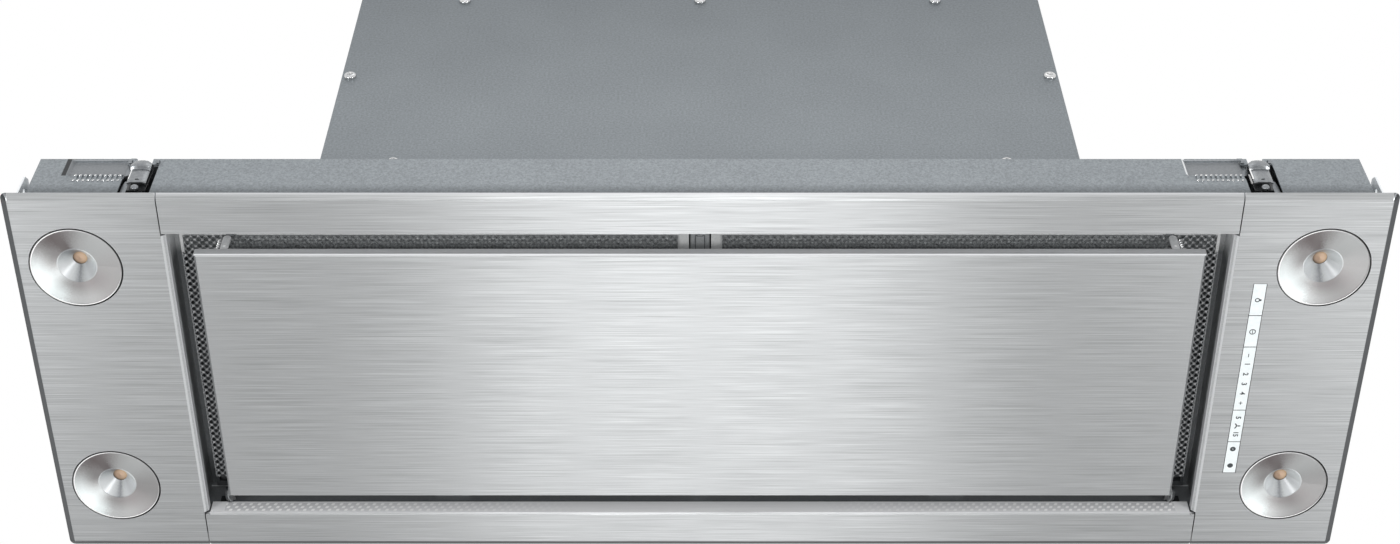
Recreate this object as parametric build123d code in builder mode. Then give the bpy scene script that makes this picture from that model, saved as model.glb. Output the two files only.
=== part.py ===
from build123d import *
import math
import os

os.makedirs("parts", exist_ok=True)

# A ceiling hood. The origin is the middle of the underside of its face. +X is to the right, +Y to the rear and
# +Z up into the ceiling.

# Face plate: two end panels and two strips round the air opening
face_width = 880.0
face_depth = 290.0
face_thickness = 3.0
bevel_width = 4.0
bevel_height = 2.8
corner_radius = 4.0
inner_corner_radius = 1.0
end_panel_width = 98.0
strip_depth = 29.0
seam = 0.7
edge_sheet = 1.2
side_lip_width = 2.6
side_lip_height = 8.0
rear_lip_width = 1.2
strip_lip_height = 12.6
lip_end_gap = 0.8

half_opening_x = face_width / 2 - end_panel_width
half_opening_y = face_depth / 2 - strip_depth
rear_lip_y = half_opening_y - rear_lip_width
side_lip_x = half_opening_x - side_lip_width

# Lamps
lamp_inset_x = 40.5
lamp_inset_y = 55.0
lamp_radius = 29.5
lamp_seam = 0.6
lamp_lip = 1.2
lamp_cup_radius = 12.4
lamp_cup_depth = 8.8
lamp_light_radius = 4.7
lamp_dish_drop = 2.8
lamp_disc_thickness = 1.6
lamp_flange_height = 2.6
lamp_body_radius = 26.5
lamp_body_wall = 1.5
lamp_lip_step = 0.3
lamp_cup_wall = 0.65
lamp_cup_gap = 0.05
lamp_module_radius = 17.0
lamp_module_height = 10.0
lamp_well_depth = 0.4
lamp_led_thickness = 0.8
lamp_clip_width = 9.0
lamp_clip_reach = 9.5
lamp_clip_sheet = 0.8
lamp_clip_height = 9.0

lamp_x = face_width / 2 - lamp_inset_x
lamp_y = face_depth / 2 - lamp_inset_y
lamp_spots = [(sx * lamp_x, sy * lamp_y) for sx in (-1, 1) for sy in (-1, 1)]
lamp_hole_radius = lamp_radius + lamp_seam

# Control strip
control_offset = 18.65
control_width = 9.0
control_start_y = -77.7
near_key_length = 25.2
level_key_length = 52.2
far_key_length = 26.95
key_gap = 0.6
key_side_gap = 0.4
key_lip_side = 0.9
key_lip_thickness = 0.7
key_lip_gap = 0.1
key_travel = 0.8
switch_gap = 0.1
switch_height = 0.8
switch_size = 4.0
board_thickness = 1.6
tray_wall = 1.2
tray_height = 9.5
tray_end = 4.5
rocker_lip_length = 5.0
rocker_switch_share = 0.12

control_x = half_opening_x + control_offset
key_lengths = {
    "key_light": near_key_length,
    "key_power": near_key_length,
    "key_level": level_key_length,
    "key_timer": far_key_length,
    "key_filter": far_key_length,
}
control_length = sum(key_lengths.values())
control_end_y = control_start_y + control_length
key_lip_z = face_thickness + key_lip_gap
switch_z = key_lip_z + key_lip_thickness + key_travel + switch_gap
board_z = switch_z + switch_height

# Centre panel
panel_gap_x = 18.5
panel_gap_y = 16.0
panel_height = 7.0
panel_sheet = 1.0
panel_chamfer = 1.5
backing_clearance = 0.6
backing_drop = 0.1
hinge_back = 4.0
hinge_height = 9.0
hinge_pin_radius = 2.0
hinge_clearance = 0.05
hinge_press_gap = 0.02
ear_radius = 4.6
ear_thickness = 2.0
ear_length = 15.0
bracket_gap = 1.7
bracket_thickness = 2.0
bracket_foot_height = 8.0
bracket_foot_width = 9.0
striker_inset = 19.2
striker_width = 5.2
striker_thickness = 1.6
striker_root_gap = 0.2
striker_spring_radius = 0.6
striker_spring_pitch = 3.0
striker_spring_count = 4
catch_gap = 0.2
catch_thickness = 2.0
catch_length = 5.0

half_panel_x = half_opening_x - panel_gap_x
half_panel_y = half_opening_y - panel_gap_y
hinge_y = half_panel_y + hinge_back
ear_outer_x = half_panel_x - panel_sheet
bracket_x = half_panel_x + bracket_gap

# Recess and filters
recess_gap_x = 3.0
recess_gap_y = 2.2
filter_bottom = 27.0
filter_thickness = 10.0
filter_side_gap = 6.0
filter_front_gap = 8.0
filter_rear_gap = 6.0
filter_front_rail = 13.0
filter_rear_rail = 4.0
filter_inner_rail = 7.8
filter_outer_rail = 2.0
filter_centre_gap = 1.0
mesh_thickness = 7.0
mesh_tuck = 1.0
mesh_columns = 14
mesh_rows = 8
mesh_hole_share = 0.62
divider_width = 12.4
divider_rise = 1.5
divider_sheet = 1.2
tongue_width = 5.0
tongue_length = 30.0
tongue_drop = 1.2
ledge_gap = 0.5
ledge_width = 7.0
filter_hook_width = 30.0
filter_hook_gap = 0.3
latch_width = 34.0
latch_length = 24.0
latch_thickness = 2.6
latch_gap = 0.3
latch_nose_width = 12.0
latch_bite = 2.5
latch_loop_radius = 5.0
latch_keeper_gap = 0.3

recess_x = side_lip_x + edge_sheet + recess_gap_x
recess_y = half_opening_y + recess_gap_y
filter_top = filter_bottom + filter_thickness
ledge_z = filter_top + ledge_gap
recess_top = ledge_z + edge_sheet
filter_x_low = divider_width / 2 + filter_centre_gap
filter_x_high = recess_x - filter_side_gap
filter_y_low = -(recess_y - filter_front_gap)
filter_y_high = recess_y - filter_rear_gap
window_x_low = filter_x_low + filter_inner_rail
window_x_high = filter_x_high - filter_outer_rail
window_y_low = filter_y_low + filter_front_rail
window_y_high = filter_y_high - filter_rear_rail
mesh_z = filter_bottom + (filter_thickness - mesh_thickness) / 2
latch_z = filter_bottom - latch_gap - latch_thickness
keeper_z = latch_z - latch_keeper_gap - edge_sheet
latch_x = (filter_x_low + filter_x_high) / 2
filter_hook_offset = (filter_x_high - filter_x_low) / 4

# Low housing
housing_inset_x = 11.0
housing_inset_y = 10.0
housing_height = 60.0
housing_sheet = 1.0
window_centre_x = 360.75
window_width = 20.5
window_bottom = 8.0
window_top = 53.0
notch_width = 10.5
pocket_length = 37.0
pocket_depth = 2.0
pocket_side_run = 2.7
pocket_bottom = 34.5
pocket_ramp = 8.5
rib_pitch = 3.2
rib_width = 1.5
rib_drop = 2.0
housing_flange = 10.0
long_flange_half_length = 230.0
end_flange_half_length = 60.0
throat_margin_x = 17.0
throat_margin_y = 19.0
well_depth = 5.0

half_housing_x = face_width / 2 - housing_inset_x
half_housing_y = face_depth / 2 - housing_inset_y
wall_bottom = face_thickness
pocket_floor_bottom = pocket_bottom + pocket_ramp
pocket_top = housing_height - housing_sheet
pocket_mid_z = (pocket_bottom + pocket_top) / 2

# Ceiling clamps
clamp_width = 15.0
clamp_sheet = 1.5
clamp_bend_radius = 3.4
clamp_plate_bottom = 24.0
clamp_shoulder = 48.5
clamp_finger_bottom = 38.0
clamp_wall_gap = 0.8
clamp_foot_length = 13.0
clamp_travel = 14.0
clamp_hole_radius = 1.6
clamp_hole_height = 6.0
clamp_screw_radius = 2.4
clamp_screw_clearance = 0.1
clamp_screw_head_radius = 4.5
clamp_screw_head_height = 3.0
clamp_screw_top = 57.0
clamp_tab_gap = 0.8
clamp_screw_set_back = 8.0

clamp_tab_z = clamp_plate_bottom - clamp_travel - clamp_tab_gap - edge_sheet
clamp_plate_y = half_housing_y - housing_sheet - clamp_wall_gap
clamp_screw_y = clamp_plate_y - clamp_sheet - clamp_screw_set_back

# Side brackets
side_bracket_gap = 7.0
side_bracket_sheet = 1.2
side_bracket_length = 32.0
side_bracket_inset = 4.0
side_bracket_top = 49.0
side_bracket_cut = 9.0
side_bracket_screw_radius = 2.2
side_bracket_screw_height = 36.0
side_bracket_screw_inset = 6.5

# Motor box
box_width = 504.0
box_depth = 238.0
box_height = 270.0
box_sheet = 1.0
box_flange = 14.0
cover_sheet = 1.0
box_top_z = housing_height + box_height
half_box_x = box_width / 2
half_box_y = box_depth / 2
screw_head_radius = 4.3
screw_head_height = 2.8
screw_shank_radius = 1.5
screw_shank_length = 5.0
screw_clearance = 0.1
top_screw_drop = 21.0
top_screw_x = 175.0
side_screw_inset = 6.0
side_screw_share = 0.5
low_screw_rise = 19.0
low_screw_x = 203.0
low_flange_width = 26.0
low_flange_height = 30.0
top_flange_height = 32.0

top_plate_bottom = box_top_z - box_sheet
cover_face_y = -half_box_y - cover_sheet
cover_screw_spots = [
    (-top_screw_x, box_top_z - top_screw_drop),
    (0, box_top_z - top_screw_drop),
    (top_screw_x, box_top_z - top_screw_drop),
    (-(half_box_x - side_screw_inset), housing_height + box_height * side_screw_share),
    (half_box_x - side_screw_inset, housing_height + box_height * side_screw_share),
    (-low_screw_x, housing_height + low_screw_rise),
    (low_screw_x, housing_height + low_screw_rise),
]

# Exhaust collar and non-return flaps
duct_radius = 74.0
collar_wall = 1.5
collar_height = 50.0
collar_flange_radius = 84.0
collar_flange_thickness = 2.0
collar_y = 29.0
flap_seat_height = 6.0
flap_seat_thickness = 2.0
flap_seat_width = 5.0
flap_seat_gap = 0.3
flap_thickness = 1.2
flap_edge_gap = 0.9
flap_root = 4.5
flap_pin_radius = 1.8
flap_clearance = 0.07
knuckle_radius = 3.2
knuckle_length = 16.0
knuckle_count = 4

bore_radius = duct_radius - collar_wall
flap_z = box_top_z + flap_seat_height + flap_seat_thickness + flap_seat_gap
flap_pin_z = flap_z + knuckle_radius
flap_radius = bore_radius - flap_edge_gap

# Blower
blower_z = 190.0
impeller_radius = 75.0
impeller_inner_radius = 62.0
impeller_half_width = 58.0
impeller_ring = 2.0
impeller_disc = 2.0
blade_count = 32
blade_thickness = 1.0
blade_lean = 28.0
blade_share = 0.94
hub_radius = 13.0
hub_half_length = 11.0
shaft_radius = 4.0
shaft_gap = 0.02
shaft_running_gap = 0.06
shaft_engagement = 20.0
scroll_half_width = 70.0
scroll_wall = 1.5
scroll_first_radius = 84.0
scroll_second_radius = 92.0
scroll_third_radius = 103.0
scroll_left_reach = 87.0
outlet_front_y = -50.0
inlet_radius = 58.0
motor_radius = 40.0
motor_length = 74.0
motor_nose_gap = 12.0
motor_fillet = 6.0
motor_flange_radius = 47.0
motor_flange_thickness = 3.0
motor_ring_gap = 0.3
bracket_arm_width = 14.0
bracket_arm_thickness = 3.0
bush_radius = 5.5
bush_length = 3.0
bush_spot_radius = 67.0
shaft_far_end = 14.0

# Electronics and mains inlet
electronics_depth = 46.0
electronics_width = 120.0
electronics_height = 110.0
electronics_z = 120.0
electronics_radius = 4.0
gland_x = 200.0
gland_y = 60.0
gland_bore_radius = 4.5
gland_body_radius = 10.0
gland_nut_size = 12.0
gland_nut_height = 6.0
gland_cap_height = 16.0
gland_tail_radius = 8.0
gland_tail_length = 7.0
gland_clearance = 0.1


def slab(x_low, x_high, y_low, y_high, z_low, z_high, mode=Mode.ADD):
    with Locations(((x_low + x_high) / 2, (y_low + y_high) / 2, (z_low + z_high) / 2)):
        Box(abs(x_high - x_low), abs(y_high - y_low), z_high - z_low, mode=mode)


def face_piece(x_low, x_high, y_low, y_high):
    # Cut from one bevelled outline, so that the bevel runs on across the seams.
    with BuildPart() as piece:
        with BuildSketch():
            RectangleRounded(face_width - 2 * bevel_width, face_depth - 2 * bevel_width, inner_corner_radius)
        with BuildSketch(Plane.XY.offset(bevel_height)):
            RectangleRounded(face_width, face_depth, corner_radius)
        loft()
        extrude(piece.faces().sort_by(Axis.Z)[-1], amount=face_thickness - bevel_height)
        slab(x_low, x_high, y_low, y_high, 0, face_thickness, mode=Mode.INTERSECT)
    return piece.part


def turned(points):
    with BuildPart() as body:
        with BuildSketch(Plane.XZ):
            with BuildLine():
                Polyline(*points, close=True)
            make_face()
        revolve(axis=Axis.Z)
    return body.part


def cover_screw_holes():
    with Locations(*[Location((x, -half_box_y, z), (90, 0, 0)) for x, z in cover_screw_spots]):
        Cylinder(screw_shank_radius + screw_clearance, 2 * box_flange, mode=Mode.SUBTRACT)


# End panels, with a folded lip along the air opening
for side, name in ((-1, "left_end_panel"), (1, "right_end_panel")):
    with BuildPart() as end_panel:
        add(
            face_piece(
                min(side * (half_opening_x + seam / 2), side * face_width / 2),
                max(side * (half_opening_x + seam / 2), side * face_width / 2),
                -face_depth / 2,
                face_depth / 2,
            )
        )
        with BuildSketch(Plane.XZ):
            with BuildLine():
                Polyline(
                    (side * (half_opening_x + seam / 2), 0),
                    (side * side_lip_x, side_lip_width),
                    (side * side_lip_x, side_lip_height),
                    (side * (side_lip_x + edge_sheet), side_lip_height),
                    (side * (side_lip_x + edge_sheet), face_thickness),
                    (side * (half_opening_x + seam / 2), face_thickness),
                    close=True,
                )
            make_face()
        extrude(amount=rear_lip_y - lip_end_gap, both=True)
        with Locations(*[(x, y, 0) for x, y in lamp_spots if x * side > 0]):
            Cylinder(lamp_hole_radius, 4 * face_thickness, mode=Mode.SUBTRACT)
        if side > 0:
            slab(
                control_x - control_width / 2,
                control_x + control_width / 2,
                control_start_y,
                control_end_y,
                -face_thickness,
                2 * face_thickness,
                mode=Mode.SUBTRACT,
            )
    end_panel.part.label = name
    export_step(end_panel.part, f"parts/{name}.step")

# Front and rear strips. The rear one's lip leans into the opening, the front one's stands straight.
front_lip = [
    (-half_opening_y, 0),
    (-half_opening_y, strip_lip_height),
    (-half_opening_y - edge_sheet, strip_lip_height),
    (-half_opening_y - edge_sheet, 0),
]
rear_lip = [
    (half_opening_y + edge_sheet, 0),
    (half_opening_y, 0),
    (rear_lip_y, rear_lip_width),
    (rear_lip_y, strip_lip_height),
    (rear_lip_y + edge_sheet, strip_lip_height),
    (rear_lip_y + edge_sheet, face_thickness),
    (half_opening_y + edge_sheet, face_thickness),
]
for side, name, lip_points in ((-1, "front_strip", front_lip), (1, "rear_strip", rear_lip)):
    with BuildPart() as strip:
        add(
            face_piece(
                -(half_opening_x - seam / 2),
                half_opening_x - seam / 2,
                min(side * half_opening_y, side * face_depth / 2),
                max(side * half_opening_y, side * face_depth / 2),
            )
        )
        with BuildSketch(Plane.YZ):
            with BuildLine():
                Polyline(*lip_points, close=True)
            make_face()
        extrude(amount=side_lip_x - lip_end_gap, both=True)
    strip.part.label = name
    export_step(strip.part, f"parts/{name}.step")

# Recess frame: a sheet ring above the opening, with a ledge over the filters, hooks under their front rails and
# keepers for their latches
with BuildPart() as recess_frame:
    with BuildSketch(Plane.XY.offset(face_thickness)):
        Rectangle(2 * (recess_x + edge_sheet), 2 * (recess_y + edge_sheet))
        Rectangle(2 * recess_x, 2 * recess_y, mode=Mode.SUBTRACT)
    extrude(amount=recess_top - face_thickness)
    with BuildSketch(Plane.XY.offset(ledge_z)):
        Rectangle(2 * recess_x, 2 * recess_y)
        Rectangle(2 * (recess_x - filter_side_gap - ledge_width), 2 * (recess_y - ledge_width), mode=Mode.SUBTRACT)
    extrude(amount=edge_sheet)
    for side in (-1, 1):
        for hook_shift in (-filter_hook_offset, filter_hook_offset):
            hook_x = side * latch_x + hook_shift
            slab(
                hook_x - filter_hook_width / 2,
                hook_x + filter_hook_width / 2,
                -recess_y,
                filter_y_low + filter_hook_gap + edge_sheet,
                filter_bottom - filter_hook_gap - edge_sheet,
                filter_bottom - filter_hook_gap,
            )
        slab(
            side * latch_x - latch_nose_width,
            side * latch_x + latch_nose_width,
            filter_y_high + latch_bite,
            recess_y,
            keeper_z,
            keeper_z + edge_sheet,
        )
recess_frame.part.label = "recess_frame"
export_step(recess_frame.part, "parts/recess_frame.step")

# Filter divider, with a spring tongue lanced out of its front end
with BuildPart() as filter_divider:
    with BuildSketch(Plane.XY.offset(filter_bottom + divider_rise)):
        Rectangle(divider_width, 2 * recess_y)
    extrude(amount=filter_thickness - divider_rise)
    with BuildSketch(Plane.XY.offset(filter_bottom + divider_rise + divider_sheet)):
        Rectangle(divider_width - 2 * divider_sheet, 2 * (recess_y - divider_sheet))
    extrude(amount=filter_thickness, mode=Mode.SUBTRACT)
    with BuildSketch(Plane.XY.offset(filter_bottom + divider_rise - tongue_drop)):
        with Locations((0, window_y_low + tongue_length / 2)):
            SlotOverall(tongue_length, tongue_width, rotation=90)
    extrude(amount=tongue_drop + divider_sheet)
filter_divider.part.label = "filter_divider"
export_step(filter_divider.part, "parts/filter_divider.step")

# Filters: frames with a groove round the mesh, the mesh packs and the sliding latches
for side, name in ((-1, "left"), (1, "right")):
    mid_x = side * (window_x_low + window_x_high) / 2
    mid_y = (window_y_low + window_y_high) / 2
    window_w = window_x_high - window_x_low
    window_d = window_y_high - window_y_low
    with BuildPart() as filter_frame:
        slab(
            side * filter_x_low,
            side * filter_x_high,
            filter_y_low,
            filter_y_high,
            filter_bottom,
            filter_top,
        )
        with BuildSketch(Plane.XY.offset(filter_bottom)):
            with Locations((mid_x, mid_y)):
                Rectangle(window_w, window_d)
        extrude(amount=filter_thickness, mode=Mode.SUBTRACT)
        with BuildSketch(Plane.XY.offset(mesh_z)):
            with Locations((mid_x, mid_y)):
                Rectangle(window_w + 2 * mesh_tuck, window_d + 2 * mesh_tuck)
        extrude(amount=mesh_thickness, mode=Mode.SUBTRACT)
    filter_frame.part.label = f"{name}_filter_frame"
    export_step(filter_frame.part, f"parts/{name}_filter_frame.step")

    with BuildPart() as filter_mesh:
        with BuildSketch(Plane.XY.offset(mesh_z)):
            with Locations((mid_x, mid_y)):
                Rectangle(window_w + 2 * mesh_tuck, window_d + 2 * mesh_tuck)
                with GridLocations(window_w / mesh_columns, window_d / mesh_rows, mesh_columns, mesh_rows):
                    hole_w = window_w / mesh_columns * mesh_hole_share
                    hole_d = window_d / mesh_rows * mesh_hole_share
                    Polygon(
                        (-hole_w / 2, 0),
                        (0, -hole_d / 2),
                        (hole_w / 2, 0),
                        (0, hole_d / 2),
                        mode=Mode.SUBTRACT,
                    )
        extrude(amount=mesh_thickness)
    filter_mesh.part.label = f"{name}_filter_mesh"
    export_step(filter_mesh.part, f"parts/{name}_filter_mesh.step")

    with BuildPart() as filter_latch:
        with BuildSketch(Plane.XY.offset(latch_z)):
            with Locations((side * latch_x, filter_y_high - latch_length / 2)):
                RectangleRounded(latch_width, latch_length, latch_thickness)
            with Locations((side * latch_x, filter_y_high + latch_bite)):
                Rectangle(latch_nose_width, 2 * latch_bite)
            with Locations((side * latch_x, filter_y_high - latch_length / 2)):
                SlotOverall(latch_width - 2 * latch_loop_radius, 2 * latch_loop_radius, mode=Mode.SUBTRACT)
        extrude(amount=latch_thickness)
    filter_latch.part.label = f"{name}_filter_latch"
    export_step(filter_latch.part, f"parts/{name}_filter_latch.step")

# Centre panel: a folded tray with a chamfered underside and two hinge ears
with BuildPart() as panel_skin:
    with BuildSketch():
        Rectangle(2 * half_panel_x, 2 * half_panel_y)
    extrude(amount=panel_height)
    chamfer(panel_skin.faces().sort_by(Axis.Z)[0].edges(), length=panel_chamfer)
    with BuildSketch(Plane.XY.offset(panel_height)):
        Rectangle(2 * (half_panel_x - panel_sheet), 2 * (half_panel_y - panel_sheet))
    extrude(amount=-(panel_height - panel_sheet - panel_chamfer / 2), mode=Mode.SUBTRACT)
    for side in (-1, 1):
        ear_plane = Plane.YZ.offset(side * (ear_outer_x - ear_thickness / 2))
        with BuildSketch(ear_plane):
            with BuildLine():
                Polyline(
                    (half_panel_y - ear_length, panel_sheet),
                    (half_panel_y - panel_sheet, panel_sheet),
                    (half_panel_y - panel_sheet, panel_height),
                    (hinge_y, hinge_height - ear_radius),
                    (hinge_y, hinge_height + ear_radius),
                    (half_panel_y - ear_length, panel_height),
                    close=True,
                )
            make_face()
            with Locations((hinge_y, hinge_height)):
                Circle(ear_radius)
                Circle(hinge_pin_radius + hinge_clearance, mode=Mode.SUBTRACT)
        extrude(amount=ear_thickness / 2, both=True)
panel_skin.part.label = "panel_skin"
export_step(panel_skin.part, "parts/panel_skin.step")

with BuildPart() as panel_backing:
    with BuildSketch(Plane.XY.offset(panel_height - backing_drop)):
        Rectangle(2 * (ear_outer_x - ear_thickness - backing_clearance), 2 * (half_panel_y - panel_sheet))
    extrude(amount=-panel_sheet)
panel_backing.part.label = "panel_backing"
export_step(panel_backing.part, "parts/panel_backing.step")

# Striker tongues on the panel, each with a small coil beside it, and the magnetic pads that they meet
striker_x = half_panel_x - striker_inset
striker_top = filter_bottom - catch_thickness - catch_gap
striker_y = -(half_panel_y - panel_sheet - striker_root_gap - striker_thickness / 2)
striker_base = panel_height - backing_drop
with BuildPart() as panel_strikers:
    for side in (-1, 1):
        with BuildSketch(Plane.XZ.offset(-striker_y)):
            with Locations((side * striker_x, (striker_base + striker_top - striker_width / 2) / 2)):
                Rectangle(striker_width, striker_top - striker_width / 2 - striker_base)
            with Locations((side * striker_x, striker_top - striker_width / 2)):
                Circle(striker_width / 2)
        extrude(amount=striker_thickness / 2, both=True)
        coil_x = side * (striker_x + striker_width / 2 + striker_spring_radius / 2)
        for turn in range(striker_spring_count):
            with Locations((coil_x, striker_y, striker_base + (turn + 1) * striker_spring_pitch)):
                Cylinder(striker_spring_radius, striker_spring_pitch / 2)
panel_strikers.part.label = "panel_strikers"
export_step(panel_strikers.part, "parts/panel_strikers.step")

with BuildPart() as panel_catches:
    for side in (-1, 1):
        slab(
            side * striker_x - striker_width / 2,
            side * striker_x + striker_width / 2,
            window_y_low - catch_length,
            window_y_low,
            filter_bottom - catch_thickness,
            filter_bottom,
        )
panel_catches.part.label = "panel_catches"
export_step(panel_catches.part, "parts/panel_catches.step")

# Hinge brackets on the recess frame's rear wall, and the pins that they carry
bracket_mid_x = bracket_x + bracket_thickness / 2
bracket_foot_z = strip_lip_height + lip_end_gap
with BuildPart() as hinge_brackets:
    for side in (-1, 1):
        with BuildSketch(Plane.YZ.offset(side * bracket_mid_x)):
            with BuildLine():
                Polyline(
                    (hinge_y, hinge_height - ear_radius),
                    (recess_y, bracket_foot_z),
                    (recess_y, bracket_foot_z + bracket_foot_height),
                    (hinge_y, hinge_height + ear_radius),
                    close=True,
                )
            make_face()
            with Locations((hinge_y, hinge_height)):
                Circle(ear_radius)
                Circle(hinge_pin_radius + hinge_press_gap, mode=Mode.SUBTRACT)
            slab_low = rear_lip_y - lip_end_gap
            with Locations(((slab_low + recess_y) / 2, bracket_foot_z / 2)):
                Rectangle(recess_y - slab_low, bracket_foot_z, mode=Mode.SUBTRACT)
        extrude(amount=bracket_thickness / 2, both=True)
        slab(
            side * bracket_x,
            side * (bracket_x + bracket_foot_width),
            recess_y - edge_sheet,
            recess_y,
            bracket_foot_z,
            bracket_foot_z + bracket_foot_height,
        )
hinge_brackets.part.label = "hinge_brackets"
export_step(hinge_brackets.part, "parts/hinge_brackets.step")

pin_inner_x = ear_outer_x - ear_thickness - hinge_clearance
pin_outer_x = bracket_x + bracket_thickness
with BuildPart() as hinge_pins:
    for side in (-1, 1):
        with BuildSketch(Plane.YZ.offset(side * (pin_inner_x + pin_outer_x) / 2)):
            with Locations((hinge_y, hinge_height)):
                Circle(hinge_pin_radius)
        extrude(amount=(pin_outer_x - pin_inner_x) / 2, both=True)
hinge_pins.part.label = "hinge_pins"
export_step(hinge_pins.part, "parts/hinge_pins.step")

# Lamps: a rim with a shallow turned dish, a reflector cup, a light module with its emitter, and two spring leaves
cup_top = lamp_dish_drop + lamp_cup_depth
lamp_places = [(x, y, 0) for x, y in lamp_spots]
disc_top = lamp_dish_drop + lamp_disc_thickness
reflector_radius = lamp_cup_radius + lamp_cup_wall - lamp_cup_gap
body_top_z = cup_top + lamp_module_height

with BuildPart() as lamp_rims:
    with Locations(*lamp_places):
        add(
            turned(
                [
                    (lamp_radius - lamp_lip, 0),
                    (lamp_radius, 0),
                    (lamp_radius, lamp_flange_height),
                    (lamp_body_radius, lamp_flange_height),
                    (lamp_body_radius, body_top_z + lamp_body_wall),
                    (0, body_top_z + lamp_body_wall),
                    (0, body_top_z),
                    (lamp_body_radius - lamp_body_wall, body_top_z),
                    (lamp_body_radius - lamp_body_wall, disc_top),
                    (lamp_cup_radius + lamp_cup_wall, disc_top),
                    (lamp_cup_radius + lamp_cup_wall, lamp_dish_drop),
                    (lamp_radius - lamp_lip, lamp_lip_step),
                ]
            )
        )
lamp_rims.part.label = "lamp_rims"
export_step(lamp_rims.part, "parts/lamp_rims.step")

with BuildPart() as lamp_reflectors:
    with Locations(*lamp_places):
        add(
            turned(
                [
                    (lamp_cup_radius, lamp_dish_drop),
                    (reflector_radius, lamp_dish_drop),
                    (reflector_radius, disc_top),
                    (lamp_light_radius + lamp_cup_wall, cup_top),
                    (lamp_light_radius, cup_top),
                ]
            )
        )
lamp_reflectors.part.label = "lamp_reflectors"
export_step(lamp_reflectors.part, "parts/lamp_reflectors.step")

with BuildPart() as lamp_modules:
    with Locations(*lamp_places):
        add(
            turned(
                [
                    (lamp_light_radius, cup_top),
                    (lamp_module_radius, cup_top),
                    (lamp_module_radius, body_top_z),
                    (0, body_top_z),
                    (0, cup_top + lamp_well_depth + lamp_led_thickness),
                    (lamp_light_radius, cup_top + lamp_well_depth + lamp_led_thickness),
                ]
            )
        )
lamp_modules.part.label = "lamp_modules"
export_step(lamp_modules.part, "parts/lamp_modules.step")

with BuildPart() as lamp_leds:
    with Locations(*[(x, y, cup_top + lamp_well_depth + lamp_led_thickness / 2) for x, y in lamp_spots]):
        Cylinder(lamp_light_radius - lamp_cup_gap, lamp_led_thickness)
lamp_leds.part.label = "lamp_leds"
export_step(lamp_leds.part, "parts/lamp_leds.step")

with BuildPart() as lamp_clips:
    for x, y in lamp_spots:
        for side in (-1, 1):
            root_y = y + side * lamp_body_radius
            slab(
                x - lamp_clip_width / 2,
                x + lamp_clip_width / 2,
                root_y,
                root_y + side * lamp_clip_sheet,
                face_thickness,
                face_thickness + lamp_clip_height,
            )
            slab(
                x - lamp_clip_width / 2,
                x + lamp_clip_width / 2,
                root_y,
                root_y + side * lamp_clip_reach,
                face_thickness,
                face_thickness + lamp_clip_sheet,
            )
lamp_clips.part.label = "lamp_clips"
export_step(lamp_clips.part, "parts/lamp_clips.step")

# Keys, in a row along the slot. The long one rocks about its middle, so its lips are short.
key_low_y = control_start_y
switch_spots = []
for name, length in key_lengths.items():
    key_high_y = key_low_y + length
    key_mid_y = (key_low_y + key_high_y) / 2
    rocks = name == "key_level"
    lip_half_length = rocker_lip_length / 2 if rocks else (length - key_gap) / 2
    with BuildPart() as key:
        slab(
            control_x - control_width / 2 + key_side_gap,
            control_x + control_width / 2 - key_side_gap,
            key_low_y + key_gap / 2,
            key_high_y - key_gap / 2,
            0,
            key_lip_z + key_lip_thickness,
        )
        slab(
            control_x - control_width / 2 - key_lip_side,
            control_x + control_width / 2 + key_lip_side,
            key_mid_y - lip_half_length,
            key_mid_y + lip_half_length,
            key_lip_z,
            key_lip_z + key_lip_thickness,
        )
    key.part.label = name
    export_step(key.part, f"parts/{name}.step")
    if rocks:
        rocker_mid_y = key_mid_y
        switch_spots += [key_low_y + length * rocker_switch_share, key_high_y - length * rocker_switch_share]
    else:
        switch_spots.append(key_mid_y)
    key_low_y = key_high_y

cavity_half_width = control_width / 2 + key_lip_side + key_side_gap
with BuildPart() as control_tray:
    slab(
        control_x - cavity_half_width - tray_wall,
        control_x + cavity_half_width + tray_wall,
        control_start_y - tray_end,
        control_end_y + tray_end,
        face_thickness,
        face_thickness + tray_height,
    )
    slab(
        control_x - cavity_half_width,
        control_x + cavity_half_width,
        control_start_y - tray_end + tray_wall,
        control_end_y + tray_end - tray_wall,
        face_thickness,
        face_thickness + tray_height - tray_wall,
        mode=Mode.SUBTRACT,
    )
control_tray.part.label = "control_tray"
export_step(control_tray.part, "parts/control_tray.step")

with BuildPart() as control_board:
    slab(
        control_x - cavity_half_width,
        control_x + cavity_half_width,
        control_start_y - tray_end + tray_wall,
        control_end_y + tray_end - tray_wall,
        board_z,
        board_z + board_thickness,
    )
    for spot_y in switch_spots:
        slab(
            control_x - switch_size / 2,
            control_x + switch_size / 2,
            spot_y - switch_size / 2,
            spot_y + switch_size / 2,
            switch_z,
            board_z,
        )
control_board.part.label = "control_board"
export_step(control_board.part, "parts/control_board.step")


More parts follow.
